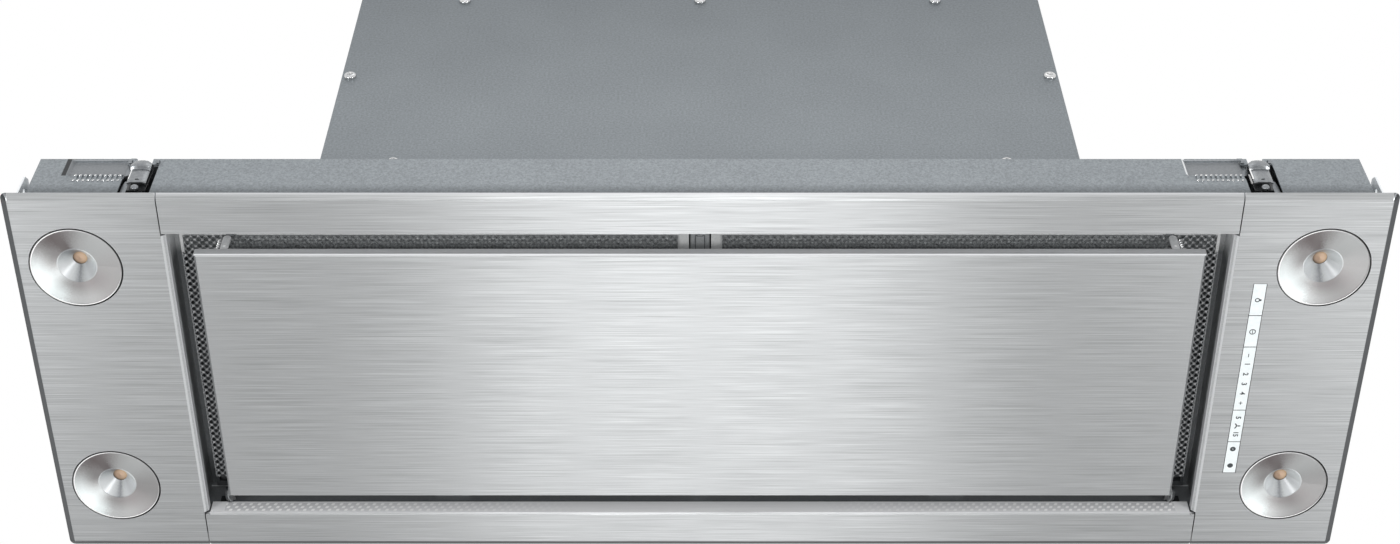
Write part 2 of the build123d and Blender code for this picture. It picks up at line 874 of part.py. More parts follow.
def long_wall():
    # The front wall: two clamp windows, and left of each a shallow drawn pocket with a ribbed ramp at its foot
    pocket_y = -half_housing_y + pocket_depth
    with BuildPart() as wall:
        with BuildSketch(Plane.XZ.offset(half_housing_y)):
            with Locations((0, (wall_bottom + housing_height) / 2)):
                Rectangle(2 * half_housing_x, housing_height - wall_bottom)
            for side in (-1, 1):
                with Locations((side * window_centre_x, (window_bottom + window_top) / 2)):
                    Rectangle(window_width, window_top - window_bottom, mode=Mode.SUBTRACT)
                with Locations((side * window_centre_x, (window_top + housing_height) / 2)):
                    Rectangle(notch_width, housing_height - window_top + housing_sheet, mode=Mode.SUBTRACT)
                with Locations((side * window_centre_x - (window_width + pocket_length) / 2, pocket_mid_z)):
                    Rectangle(pocket_length, pocket_top - pocket_bottom, mode=Mode.SUBTRACT)
        extrude(amount=-housing_sheet)
        for side in (-1, 1):
            pocket_right = side * window_centre_x - window_width / 2
            pocket_left = pocket_right - pocket_length
            with BuildSketch(Plane.YZ.offset(pocket_left)):
                with BuildLine():
                    Polyline(
                        (-half_housing_y, pocket_bottom),
                        (pocket_y, pocket_floor_bottom),
                        (pocket_y, pocket_top),
                        (pocket_y + housing_sheet, pocket_top),
                        (pocket_y + housing_sheet, pocket_floor_bottom),
                        (-half_housing_y + housing_sheet, pocket_bottom),
                        close=True,
                    )
                make_face()
            extrude(amount=pocket_length)
            with BuildSketch(Plane.XY.offset(pocket_bottom)):
                with BuildLine():
                    Polyline(
                        (pocket_left, -half_housing_y),
                        (pocket_left + pocket_side_run, pocket_y + housing_sheet),
                        (pocket_left, pocket_y + housing_sheet),
                        close=True,
                    )
                make_face()
            extrude(amount=pocket_top - pocket_bottom)
            rib_count = int((pocket_length - pocket_side_run) / rib_pitch)
            for rib in range(rib_count):
                rib_x = pocket_right - (rib + 0.5) * rib_pitch
                with BuildSketch(Plane.YZ.offset(rib_x)):
                    with BuildLine():
                        Polyline(
                            (-half_housing_y, pocket_bottom),
                            (pocket_y, pocket_floor_bottom),
                            (-half_housing_y, pocket_floor_bottom - rib_drop),
                            close=True,
                        )
                    make_face()
                extrude(amount=rib_width / 2, both=True)
            slab(
                side * window_centre_x - window_width / 2,
                side * window_centre_x + window_width / 2,
                -half_housing_y,
                -clamp_screw_y + clamp_screw_head_radius,
                clamp_tab_z,
                clamp_tab_z + edge_sheet,
            )
        with Locations(*[(side * window_centre_x, -clamp_screw_y, clamp_tab_z) for side in (-1, 1)]):
            Cylinder(clamp_screw_radius + clamp_screw_clearance, 4 * edge_sheet, mode=Mode.SUBTRACT)
        slab(
            -long_flange_half_length,
            long_flange_half_length,
            -half_housing_y + housing_sheet,
            -half_housing_y + housing_sheet + housing_flange,
            housing_height - 2 * housing_sheet,
            housing_height - housing_sheet,
        )
    return wall.part


with BuildPart() as housing_front_wall:
    add(long_wall())
housing_front_wall.part.label = "housing_front_wall"
export_step(housing_front_wall.part, "parts/housing_front_wall.step")

# The rear wall is the same pressing, turned half round
with BuildPart() as housing_rear_wall:
    add(long_wall().rotate(Axis.Z, 180))
housing_rear_wall.part.label = "housing_rear_wall"
export_step(housing_rear_wall.part, "parts/housing_rear_wall.step")

for side, name in ((-1, "housing_left_wall"), (1, "housing_right_wall")):
    with BuildPart() as end_wall:
        slab(
            side * (half_housing_x - housing_sheet),
            side * half_housing_x,
            -half_housing_y + housing_sheet,
            half_housing_y - housing_sheet,
            wall_bottom,
            housing_height,
        )
        slab(
            side * (half_housing_x - housing_sheet - housing_flange),
            side * (half_housing_x - housing_sheet),
            -end_flange_half_length,
            end_flange_half_length,
            housing_height - 2 * housing_sheet,
            housing_height - housing_sheet,
        )
    end_wall.part.label = name
    export_step(end_wall.part, f"parts/{name}.step")

# Top plate of the low housing, with the air throat, the clamp wells and two turned-up flanges for the cover
with BuildPart() as housing_top_plate:
    with BuildSketch(Plane.XY.offset(housing_height - housing_sheet)):
        Rectangle(2 * (half_housing_x - housing_sheet), 2 * (half_housing_y - housing_sheet))
        Rectangle(2 * (half_box_x - throat_margin_x), 2 * (half_box_y - throat_margin_y), mode=Mode.SUBTRACT)
        for side_x in (-1, 1):
            for side_y in (-1, 1):
                with Locations((side_x * window_centre_x, side_y * (half_housing_y - well_depth / 2))):
                    Rectangle(window_width, well_depth, mode=Mode.SUBTRACT)
    extrude(amount=housing_sheet)
    for side in (-1, 1):
        slab(
            side * low_screw_x - low_flange_width / 2,
            side * low_screw_x + low_flange_width / 2,
            -half_box_y,
            -half_box_y + box_sheet,
            housing_height,
            housing_height + low_flange_height,
        )
    cover_screw_holes()
housing_top_plate.part.label = "housing_top_plate"
export_step(housing_top_plate.part, "parts/housing_top_plate.step")


# Ceiling clamps: a sheet hook in each window, drawn down its screw
for side_x, side_y, name in (
    (-1, -1, "clamp_front_left"),
    (1, -1, "clamp_front_right"),
    (-1, 1, "clamp_rear_left"),
    (1, 1, "clamp_rear_right"),
):
    outer_y = clamp_plate_y + clamp_bend_radius * 2 - clamp_sheet
    with BuildPart() as clamp:
        with BuildSketch(Plane.YZ.offset(side_x * window_centre_x)):
            with BuildLine():
                plate_in = side_y * (clamp_plate_y - clamp_sheet)
                plate_out = side_y * clamp_plate_y
                finger_in = side_y * (outer_y - clamp_sheet)
                finger_out = side_y * outer_y
                bend_y = side_y * (clamp_plate_y - clamp_sheet + clamp_bend_radius)
                Line((plate_in, clamp_plate_bottom), (plate_in, clamp_shoulder))
                ThreePointArc(
                    (plate_in, clamp_shoulder),
                    (bend_y, clamp_shoulder + clamp_bend_radius),
                    (finger_out, clamp_shoulder),
                )
                Line((finger_out, clamp_shoulder), (finger_out, clamp_finger_bottom))
                Line((finger_out, clamp_finger_bottom), (finger_in, clamp_finger_bottom))
                Line((finger_in, clamp_finger_bottom), (finger_in, clamp_shoulder))
                ThreePointArc(
                    (finger_in, clamp_shoulder),
                    (bend_y, clamp_shoulder + clamp_bend_radius - clamp_sheet),
                    (plate_out, clamp_shoulder),
                )
                Line((plate_out, clamp_shoulder), (plate_out, clamp_plate_bottom))
                Line((plate_out, clamp_plate_bottom), (plate_in, clamp_plate_bottom))
            make_face()
        extrude(amount=clamp_width / 2, both=True)
        slab(
            side_x * window_centre_x - clamp_width / 2,
            side_x * window_centre_x + clamp_width / 2,
            side_y * (clamp_plate_y - clamp_sheet - clamp_foot_length),
            side_y * (clamp_plate_y - clamp_sheet),
            clamp_plate_bottom,
            clamp_plate_bottom + clamp_sheet,
        )
        with Locations((side_x * window_centre_x, side_y * clamp_screw_y, clamp_plate_bottom)):
            Cylinder(clamp_screw_radius + clamp_screw_clearance, 4 * clamp_sheet, mode=Mode.SUBTRACT)
        with Locations(
            Location(
                (side_x * window_centre_x, plate_in, clamp_plate_bottom + clamp_hole_height),
                (90, 0, 0),
            )
        ):
            Cylinder(clamp_hole_radius, 4 * clamp_sheet, mode=Mode.SUBTRACT)
    clamp.part.label = name
    export_step(clamp.part, f"parts/{name}.step")

with BuildPart() as clamp_screws:
    for side_x in (-1, 1):
        for side_y in (-1, 1):
            spot = (side_x * window_centre_x, side_y * clamp_screw_y)
            with BuildSketch(Plane.XY.offset(clamp_tab_z - clamp_screw_head_height)):
                with Locations(spot):
                    Circle(clamp_screw_head_radius)
            extrude(amount=clamp_screw_head_height)
            with BuildSketch(Plane.XY.offset(clamp_tab_z)):
                with Locations(spot):
                    Circle(clamp_screw_radius)
            extrude(amount=clamp_screw_top - clamp_tab_z)
clamp_screws.part.label = "clamp_screws"
export_step(clamp_screws.part, "parts/clamp_screws.step")

# Side brackets: pointed sheet tabs that stand off the end walls
bracket_face_x = half_housing_x + side_bracket_gap
with BuildPart() as side_brackets:
    for side_x in (-1, 1):
        for side_y in (-1, 1):
            front_y = side_y * (half_housing_y - side_bracket_inset)
            back_y = side_y * (half_housing_y - side_bracket_inset - side_bracket_length)
            screw_y = side_y * (half_housing_y - side_bracket_inset - side_bracket_screw_inset)
            with BuildSketch(Plane.YZ.offset(side_x * (bracket_face_x + side_bracket_sheet / 2))):
                with BuildLine():
                    Polyline(
                        (front_y, face_thickness),
                        (front_y, side_bracket_top - side_bracket_cut / 2),
                        (front_y - side_y * side_bracket_cut / 2, side_bracket_top),
                        (back_y + side_y * side_bracket_cut, side_bracket_top),
                        (back_y, side_bracket_top - side_bracket_cut),
                        (back_y, face_thickness),
                        close=True,
                    )
                make_face()
                with Locations((screw_y, side_bracket_screw_height)):
                    Circle(side_bracket_screw_radius, mode=Mode.SUBTRACT)
            extrude(amount=side_bracket_sheet / 2, both=True)
            slab(
                side_x * half_housing_x,
                side_x * bracket_face_x,
                front_y - side_y * side_bracket_cut,
                back_y + side_y * side_bracket_cut,
                side_bracket_top - side_bracket_sheet,
                side_bracket_top,
            )
side_brackets.part.label = "side_brackets"
export_step(side_brackets.part, "parts/side_brackets.step")

# Motor box: side walls with turned-in front flanges, a rear wall, a top plate and a screwed front cover
for side, name in ((-1, "motor_box_left_wall"), (1, "motor_box_right_wall")):
    with BuildPart() as box_wall:
        slab(
            side * (half_box_x - box_sheet),
            side * half_box_x,
            -half_box_y,
            half_box_y - box_sheet,
            housing_height,
            top_plate_bottom,
        )
        slab(
            side * (half_box_x - box_sheet - box_flange),
            side * (half_box_x - box_sheet),
            -half_box_y,
            -half_box_y + box_sheet,
            housing_height,
            top_plate_bottom,
        )
        cover_screw_holes()
    box_wall.part.label = name
    export_step(box_wall.part, f"parts/{name}.step")

with BuildPart() as motor_box_rear_wall:
    slab(-half_box_x, half_box_x, half_box_y - box_sheet, half_box_y, housing_height, top_plate_bottom)
motor_box_rear_wall.part.label = "motor_box_rear_wall"
export_step(motor_box_rear_wall.part, "parts/motor_box_rear_wall.step")

with BuildPart() as motor_box_top_plate:
    slab(-half_box_x, half_box_x, -half_box_y, half_box_y, top_plate_bottom, box_top_z)
    slab(
        -(half_box_x - box_sheet - box_flange - box_sheet),
        half_box_x - box_sheet - box_flange - box_sheet,
        -half_box_y,
        -half_box_y + box_sheet,
        top_plate_bottom - top_flange_height,
        top_plate_bottom,
    )
    with Locations((0, collar_y, box_top_z)):
        Cylinder(bore_radius - flap_seat_width, 4 * box_sheet, mode=Mode.SUBTRACT)
    with Locations((gland_x, gland_y, box_top_z)):
        Cylinder(gland_tail_radius + gland_clearance, 4 * box_sheet, mode=Mode.SUBTRACT)
    cover_screw_holes()
motor_box_top_plate.part.label = "motor_box_top_plate"
export_step(motor_box_top_plate.part, "parts/motor_box_top_plate.step")

with BuildPart() as motor_box_front_cover:
    slab(-half_box_x, half_box_x, cover_face_y, -half_box_y, housing_height, box_top_z)
    cover_screw_holes()
motor_box_front_cover.part.label = "motor_box_front_cover"
export_step(motor_box_front_cover.part, "parts/motor_box_front_cover.step")

with BuildPart() as cover_screws:
    for x, z in cover_screw_spots:
        with BuildSketch(Plane.XZ.offset(-cover_face_y)):
            with Locations((x, z)):
                Circle(screw_head_radius)
        extrude(amount=screw_head_height)
        with BuildSketch(Plane.XZ.offset(-cover_face_y)):
            with Locations((x, z)):
                Circle(screw_shank_radius)
        extrude(amount=-screw_shank_length)
    fillet(
        cover_screws.edges().filter_by(GeomType.CIRCLE).group_by(Axis.Y)[0],
        radius=screw_head_height * 0.6,
    )
cover_screws.part.label = "cover_screws"
export_step(cover_screws.part, "parts/cover_screws.step")

# Exhaust collar, with a seat ring inside for the flaps
with BuildPart() as exhaust_collar:
    with BuildSketch(Plane.XY.offset(box_top_z)):
        with Locations((0, collar_y)):
            Circle(collar_flange_radius)
            Circle(bore_radius - flap_seat_width, mode=Mode.SUBTRACT)
    extrude(amount=collar_flange_thickness)
    with BuildSketch(Plane.XY.offset(box_top_z)):
        with Locations((0, collar_y)):
            Circle(duct_radius)
            Circle(bore_radius, mode=Mode.SUBTRACT)
    extrude(amount=collar_height)
    with BuildSketch(Plane.XY.offset(box_top_z + flap_seat_height)):
        with Locations((0, collar_y)):
            Circle(bore_radius)
            Circle(bore_radius - flap_seat_width, mode=Mode.SUBTRACT)
    extrude(amount=flap_seat_thickness)
    with Locations(Location((0, collar_y, flap_pin_z), (90, 0, 0))):
        Cylinder(flap_pin_radius + hinge_press_gap, 2 * collar_flange_radius, mode=Mode.SUBTRACT)
exhaust_collar.part.label = "exhaust_collar"
export_step(exhaust_collar.part, "parts/exhaust_collar.step")

with BuildPart() as flap_pin:
    with Locations(Location((0, collar_y, flap_pin_z), (90, 0, 0))):
        Cylinder(flap_pin_radius, 2 * (duct_radius - flap_seat_gap))
flap_pin.part.label = "flap_pin"
export_step(flap_pin.part, "parts/flap_pin.step")

# Non-return flaps, whose knuckles take turns along one pin
knuckle_pitch = 2 * flap_radius / (knuckle_count + 1)
knuckle_spots = [collar_y + (slot - (knuckle_count - 1) / 2) * knuckle_pitch for slot in range(knuckle_count)]
for side, name, own_spots in ((-1, "left_flap", knuckle_spots[::2]), (1, "right_flap", knuckle_spots[1::2])):
    with BuildPart() as flap:
        with BuildSketch(Plane.XY.offset(flap_z)):
            with Locations((0, collar_y)):
                Circle(flap_radius)
            with Locations((side * (flap_root - flap_radius), collar_y)):
                Rectangle(2 * flap_radius, 2 * flap_radius, mode=Mode.SUBTRACT)
        extrude(amount=flap_thickness)
        for spot_y in own_spots:
            slab(
                0,
                side * flap_root,
                spot_y - knuckle_length / 2,
                spot_y + knuckle_length / 2,
                flap_z,
                flap_z + flap_thickness,
            )
            with Locations(Location((0, spot_y, flap_pin_z), (90, 0, 0))):
                Cylinder(knuckle_radius, knuckle_length)
        with Locations(Location((0, collar_y, flap_pin_z), (90, 0, 0))):
            Cylinder(flap_pin_radius + flap_clearance, 2 * flap_radius, mode=Mode.SUBTRACT)
    flap.part.label = name
    export_step(flap.part, f"parts/{name}.step")


def scroll_outline():
    first_centre_y = scroll_first_radius - scroll_left_reach
    second_centre_y = scroll_second_radius - scroll_left_reach
    bottom_z = blower_z - scroll_second_radius
    third_centre_z = bottom_z + scroll_third_radius
    rear_y = second_centre_y + scroll_third_radius
    tongue_turn = math.degrees(math.acos((outlet_front_y - first_centre_y) / scroll_first_radius))
    tongue_z = blower_z + scroll_first_radius * math.sin(math.radians(tongue_turn))
    with BuildSketch() as outline:
        with BuildLine():
            CenterArc((first_centre_y, blower_z), scroll_first_radius, tongue_turn, 180 - tongue_turn)
            CenterArc((second_centre_y, blower_z), scroll_second_radius, 180, 90)
            CenterArc((second_centre_y, third_centre_z), scroll_third_radius, 270, 90)
            Line((rear_y, third_centre_z), (rear_y, top_plate_bottom))
            Line((rear_y, top_plate_bottom), (outlet_front_y, top_plate_bottom))
            Line((outlet_front_y, top_plate_bottom), (outlet_front_y, tongue_z))
        make_face()
    return outline.sketch


# Scroll halves, split at the middle, each with its air inlet
side_plate_x = scroll_half_width + scroll_wall
for side, name in ((-1, "scroll_left_half"), (1, "scroll_right_half")):
    with BuildPart() as scroll:
        with BuildSketch(Plane.YZ):
            add(scroll_outline())
            offset(amount=scroll_wall, kind=Kind.INTERSECTION)
        extrude(amount=side * side_plate_x)
        with BuildSketch(Plane.YZ):
            add(scroll_outline())
        extrude(amount=side * scroll_half_width, mode=Mode.SUBTRACT)
        with Locations(Location((side * side_plate_x, 0, blower_z), (0, 90, 0))):
            Cylinder(inlet_radius, 4 * scroll_wall, mode=Mode.SUBTRACT)
        slab(
            -side_plate_x,
            side_plate_x,
            -half_box_y,
            half_box_y,
            top_plate_bottom,
            box_top_z + box_sheet,
            mode=Mode.SUBTRACT,
        )
    scroll.part.label = name
    export_step(scroll.part, f"parts/{name}.step")

# Impeller, open at both ends, on its shaft
with BuildPart() as impeller:
    with BuildSketch(Plane.YZ):
        with Locations((0, blower_z)):
            Circle(impeller_radius)
    extrude(amount=impeller_disc / 2, both=True)
    for side in (-1, 1):
        with BuildSketch(Plane.YZ.offset(side * (impeller_half_width - impeller_ring / 2))):
            with Locations((0, blower_z)):
                Circle(impeller_radius)
                Circle(impeller_inner_radius, mode=Mode.SUBTRACT)
        extrude(amount=impeller_ring / 2, both=True)
    with BuildSketch(Plane.YZ):
        with Locations((0, blower_z)):
            with PolarLocations((impeller_radius + impeller_inner_radius) / 2, blade_count):
                Rectangle(
                    (impeller_radius - impeller_inner_radius) / math.cos(math.radians(blade_lean)) * blade_share,
                    blade_thickness,
                    rotation=blade_lean,
                )
    extrude(amount=impeller_half_width - impeller_ring / 2, both=True)
    with BuildSketch(Plane.YZ):
        with Locations((0, blower_z)):
            Circle(hub_radius)
    extrude(amount=hub_half_length, both=True)
    with BuildSketch(Plane.YZ):
        with Locations((0, blower_z)):
            Circle(shaft_radius + shaft_gap)
    extrude(amount=2 * hub_half_length, both=True, mode=Mode.SUBTRACT)
impeller.part.label = "impeller"
export_step(impeller.part, "parts/impeller.step")

motor_front_x = -(hub_half_length + motor_nose_gap)
motor_rear_x = motor_front_x - motor_length
shaft_near_x = motor_front_x - shaft_engagement
with BuildPart() as motor_shaft:
    with BuildSketch(Plane.YZ.offset(shaft_near_x)):
        with Locations((0, blower_z)):
            Circle(shaft_radius)
    extrude(amount=hub_half_length + shaft_far_end - shaft_near_x)
motor_shaft.part.label = "motor_shaft"
export_step(motor_shaft.part, "parts/motor_shaft.step")

with BuildPart() as motor:
    with BuildSketch(Plane.YZ.offset(motor_rear_x)):
        with Locations((0, blower_z)):
            Circle(motor_radius)
    extrude(amount=motor_length)
    fillet(motor.edges().group_by(Axis.X)[-1], radius=motor_fillet)
    with BuildSketch(Plane.YZ.offset(motor_rear_x)):
        with Locations((0, blower_z)):
            Circle(motor_flange_radius)
    extrude(amount=motor_flange_thickness)
    with BuildSketch(Plane.YZ.offset(motor_front_x)):
        with Locations((0, blower_z)):
            Circle(shaft_radius + shaft_running_gap)
    extrude(amount=-(shaft_engagement + motor_flange_thickness), mode=Mode.SUBTRACT)
motor.part.label = "motor"
export_step(motor.part, "parts/motor.step")

arm_x = -side_plate_x - bush_length
with BuildPart() as motor_bracket:
    with BuildSketch(Plane.YZ.offset(motor_rear_x + motor_flange_thickness)):
        with Locations((0, blower_z)):
            Circle(motor_flange_radius)
    extrude(amount=arm_x - motor_rear_x - motor_flange_thickness)
    with BuildSketch(Plane.YZ.offset(arm_x)):
        with Locations((0, blower_z)):
            with PolarLocations(bush_spot_radius / 2, 3, start_angle=90):
                Rectangle(bush_spot_radius, bracket_arm_width)
            with PolarLocations(bush_spot_radius, 3, start_angle=90):
                Circle(bracket_arm_width / 2)
    extrude(amount=-bracket_arm_thickness)
    with BuildSketch(Plane.YZ.offset(motor_rear_x)):
        with Locations((0, blower_z)):
            Circle(motor_radius + motor_ring_gap)
    extrude(amount=motor_length, mode=Mode.SUBTRACT)
motor_bracket.part.label = "motor_bracket"
export_step(motor_bracket.part, "parts/motor_bracket.step")

with BuildPart() as motor_bushes:
    with BuildSketch(Plane.YZ.offset(arm_x)):
        with Locations((0, blower_z)):
            with PolarLocations(bush_spot_radius, 3, start_angle=90):
                Circle(bush_radius)
    extrude(amount=bush_length)
motor_bushes.part.label = "motor_bushes"
export_step(motor_bushes.part, "parts/motor_bushes.step")

# Electronics box on the right wall, and the mains cable gland in the top plate
with BuildPart() as electronics_box:
    slab(
        half_box_x - box_sheet - electronics_depth,
        half_box_x - box_sheet,
        -electronics_width / 2,
        electronics_width / 2,
        electronics_z,
        electronics_z + electronics_height,
    )
    fillet(electronics_box.faces().sort_by(Axis.X)[0].edges(), radius=electronics_radius)
electronics_box.part.label = "electronics_box"
export_step(electronics_box.part, "parts/electronics_box.step")

with BuildPart() as cable_gland:
    with BuildSketch(Plane.XY.offset(top_plate_bottom - gland_tail_length)):
        with Locations((gland_x, gland_y)):
            Circle(gland_tail_radius)
    extrude(amount=gland_tail_length + box_sheet)
    with BuildSketch(Plane.XY.offset(box_top_z)):
        with Locations((gland_x, gland_y)):
            RegularPolygon(gland_nut_size, 6)
    extrude(amount=gland_nut_height)
    with BuildSketch(Plane.XY.offset(box_top_z + gland_nut_height)):
        with Locations((gland_x, gland_y)):
            Circle(gland_body_radius)
    extrude(amount=gland_cap_height)
    fillet(cable_gland.edges().group_by(Axis.Z)[-1], radius=gland_tail_radius / 4)
    with Locations((gland_x, gland_y, box_top_z)):
        Cylinder(gland_bore_radius, 4 * gland_cap_height, mode=Mode.SUBTRACT)
cable_gland.part.label = "cable_gland"
export_step(cable_gland.part, "parts/cable_gland.step")
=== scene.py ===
import math

import bpy
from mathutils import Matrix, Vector


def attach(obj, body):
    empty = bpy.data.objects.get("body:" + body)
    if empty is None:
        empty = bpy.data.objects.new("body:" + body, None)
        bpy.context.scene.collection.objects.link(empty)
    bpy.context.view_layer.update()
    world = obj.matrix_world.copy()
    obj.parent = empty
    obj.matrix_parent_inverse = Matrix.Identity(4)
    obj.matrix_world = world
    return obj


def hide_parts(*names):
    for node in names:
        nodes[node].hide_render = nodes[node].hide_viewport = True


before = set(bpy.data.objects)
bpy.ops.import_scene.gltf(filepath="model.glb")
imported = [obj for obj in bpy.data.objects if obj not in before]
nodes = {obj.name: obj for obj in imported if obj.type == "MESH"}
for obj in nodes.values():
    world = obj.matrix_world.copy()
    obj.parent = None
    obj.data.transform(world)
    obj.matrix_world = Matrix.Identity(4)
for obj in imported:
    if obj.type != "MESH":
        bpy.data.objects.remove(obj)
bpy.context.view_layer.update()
mm = 0.001
print("frame loaded:", len(nodes), "nodes")


def srgb(hexText):
    # sRGB hex to a linear colour
    values = [int(hexText[i:i + 2], 16) / 255 for i in (1, 3, 5)]
    return [v / 12.92 if v <= 0.04045 else ((v + 0.055) / 1.055) ** 2.4 for v in values] + [1.0]


def feed(tree, node, inputs):
    # Each input takes a plain value or another node's output
    for name, value in inputs.items():
        if isinstance(value, bpy.types.NodeSocket):
            tree.links.new(value, node.inputs[name])
        else:
            node.inputs[name].default_value = value


def addNode(tree, kind, inputs, output=0, stops=(), **settings):
    # Gives back the output that the next node is to use; stops are a colour ramp's places and colours
    node = tree.nodes.new("ShaderNode" + kind)
    for name, value in settings.items():
        setattr(node, name, value)
    feed(tree, node, inputs)
    for i, (place, colour) in enumerate(stops):
        stop = node.color_ramp.elements[i] if i < 2 else node.color_ramp.elements.new(place)
        stop.position = place
        stop.color = srgb(colour)
    return node.outputs[output] if node.outputs else None


def newMaterial(name, colour, metallic, roughness, anisotropic=0.0):
    material = bpy.data.materials.new(name)
    material.use_nodes = True
    tree = material.node_tree
    shader = tree.nodes["Principled BSDF"]
    feed(tree, shader, {
        "Base Color": srgb(colour), "Metallic": metallic, "Roughness": roughness, "Anisotropic": anisotropic,
    })
    return material, tree, shader


# Noise stays between these values nearly everywhere, and a finish's two colours stand a little inside them. The
# soft edges of zones are in millimetres, and a dash leans over by this much of its height.
grainRange = {"From Min": 0.3, "From Max": 0.7}
toneStops = (0.34, 0.66)
closeStops = (0.38, 0.62)
bumpStrength = 0.3
edgeSoft = 0.3
fadeSoft = 220
dashSlant = 0.3


def grain(tree, cellMm, detail=2.0, rough=0.5, offset=(0, 0, 0)):
    # Noise on Object coordinates, whose cells are cellMm long along X, Y and Z
    stretched = addNode(tree, "Mapping", {
        "Vector": addNode(tree, "TexCoord", {}, "Object"), "Location": offset, "Scale": [1 / (c * mm) for c in cellMm],
    })
    return addNode(tree, "TexNoise", {"Vector": stretched, "Scale": 1.0, "Detail": detail, "Roughness": rough})


def placeParts(tree):
    # X, Y and Z of the Object coordinates, in metres
    return addNode(tree, "SeparateXYZ", {"Vector": addNode(tree, "TexCoord", {}, "Object")}).node.outputs


def zone(tree, box, soft):
    # 1 inside a box in millimetres and 0 outside, fading over soft. X is the distance from the middle on both
    # sides alike, and x is the place along the X axis.
    parts = placeParts(tree)
    share = None
    for axis, (low, high) in box.items():
        value = parts[axis.upper()]
        if axis == "X":
            value = addNode(tree, "Math", {0: value}, operation="ABSOLUTE")
        for edge, before, after in ((low, 0.0, 1.0), (high, 1.0, 0.0)):
            if edge is None:
                continue
            step = addNode(tree, "MapRange", {
                "Value": value, "From Min": (edge - soft / 2) * mm, "From Max": (edge + soft / 2) * mm,
                "To Min": before, "To Max": after,
            })
            share = step if share is None else addNode(tree, "Math", {0: share, 1: step}, operation="MULTIPLY")
    return share


def lattice(tree, places, pitches, fromMax, low=0.0, high=1.0):
    # Staggered spots: the product of a cosine wave along each of two ways
    waves = []
    for place, pitch in zip(places, pitches):
        turn = addNode(tree, "Math", {0: place, 1: 2 * math.pi / (pitch * mm)}, operation="MULTIPLY")
        waves.append(addNode(tree, "Math", {0: turn}, operation="COSINE"))
    both = addNode(tree, "Math", {0: waves[0], 1: waves[1]}, operation="MULTIPLY")
    return addNode(tree, "MapRange", {
        "Value": both, "From Min": 0.1, "From Max": fromMax, "To Min": low, "To Max": high,
    })


def dashes(tree, pitchX, pitchZ, startZ):
    # Staggered rows of short slanted strokes along X, on an upright face
    parts = placeParts(tree)
    up = addNode(tree, "Math", {0: parts["Z"], 1: startZ * mm}, operation="SUBTRACT")
    along = addNode(tree, "Math", {0: up, 1: -dashSlant, 2: parts["X"]}, operation="MULTIPLY_ADD")
    return lattice(tree, (along, up), (pitchX, pitchZ), 0.55, *toneStops)


def paint(tree, shader, factor, colours, zones, metallic):
    # The general colour, with each zone's own colour and metal laid over it in turn
    colour = addNode(tree, "ValToRGB", {"Fac": factor}, stops=zip(toneStops, colours))
    metal = metallic
    for spot in zones:
        share = zone(tree, spot["box"], spot.get("soft", edgeSoft))
        if "fade" in spot:
            share = addNode(tree, "Math", {0: share, 1: zone(tree, spot["fade"], fadeSoft)}, operation="MULTIPLY")
        pattern = dashes(tree, *spot["dashes"]) if "dashes" in spot else factor
        painted = addNode(tree, "ValToRGB", {"Fac": pattern}, stops=zip(toneStops, spot["colours"]))
        colour = addNode(tree, "Mix", {0: share, 6: colour, 7: painted}, 2, data_type="RGBA")
        if "metallic" in spot:
            metal = addNode(tree, "Mix", {0: share, 2: metal, 3: spot["metallic"]})
    feed(tree, shader, {"Base Color": colour, "Metallic": metal})


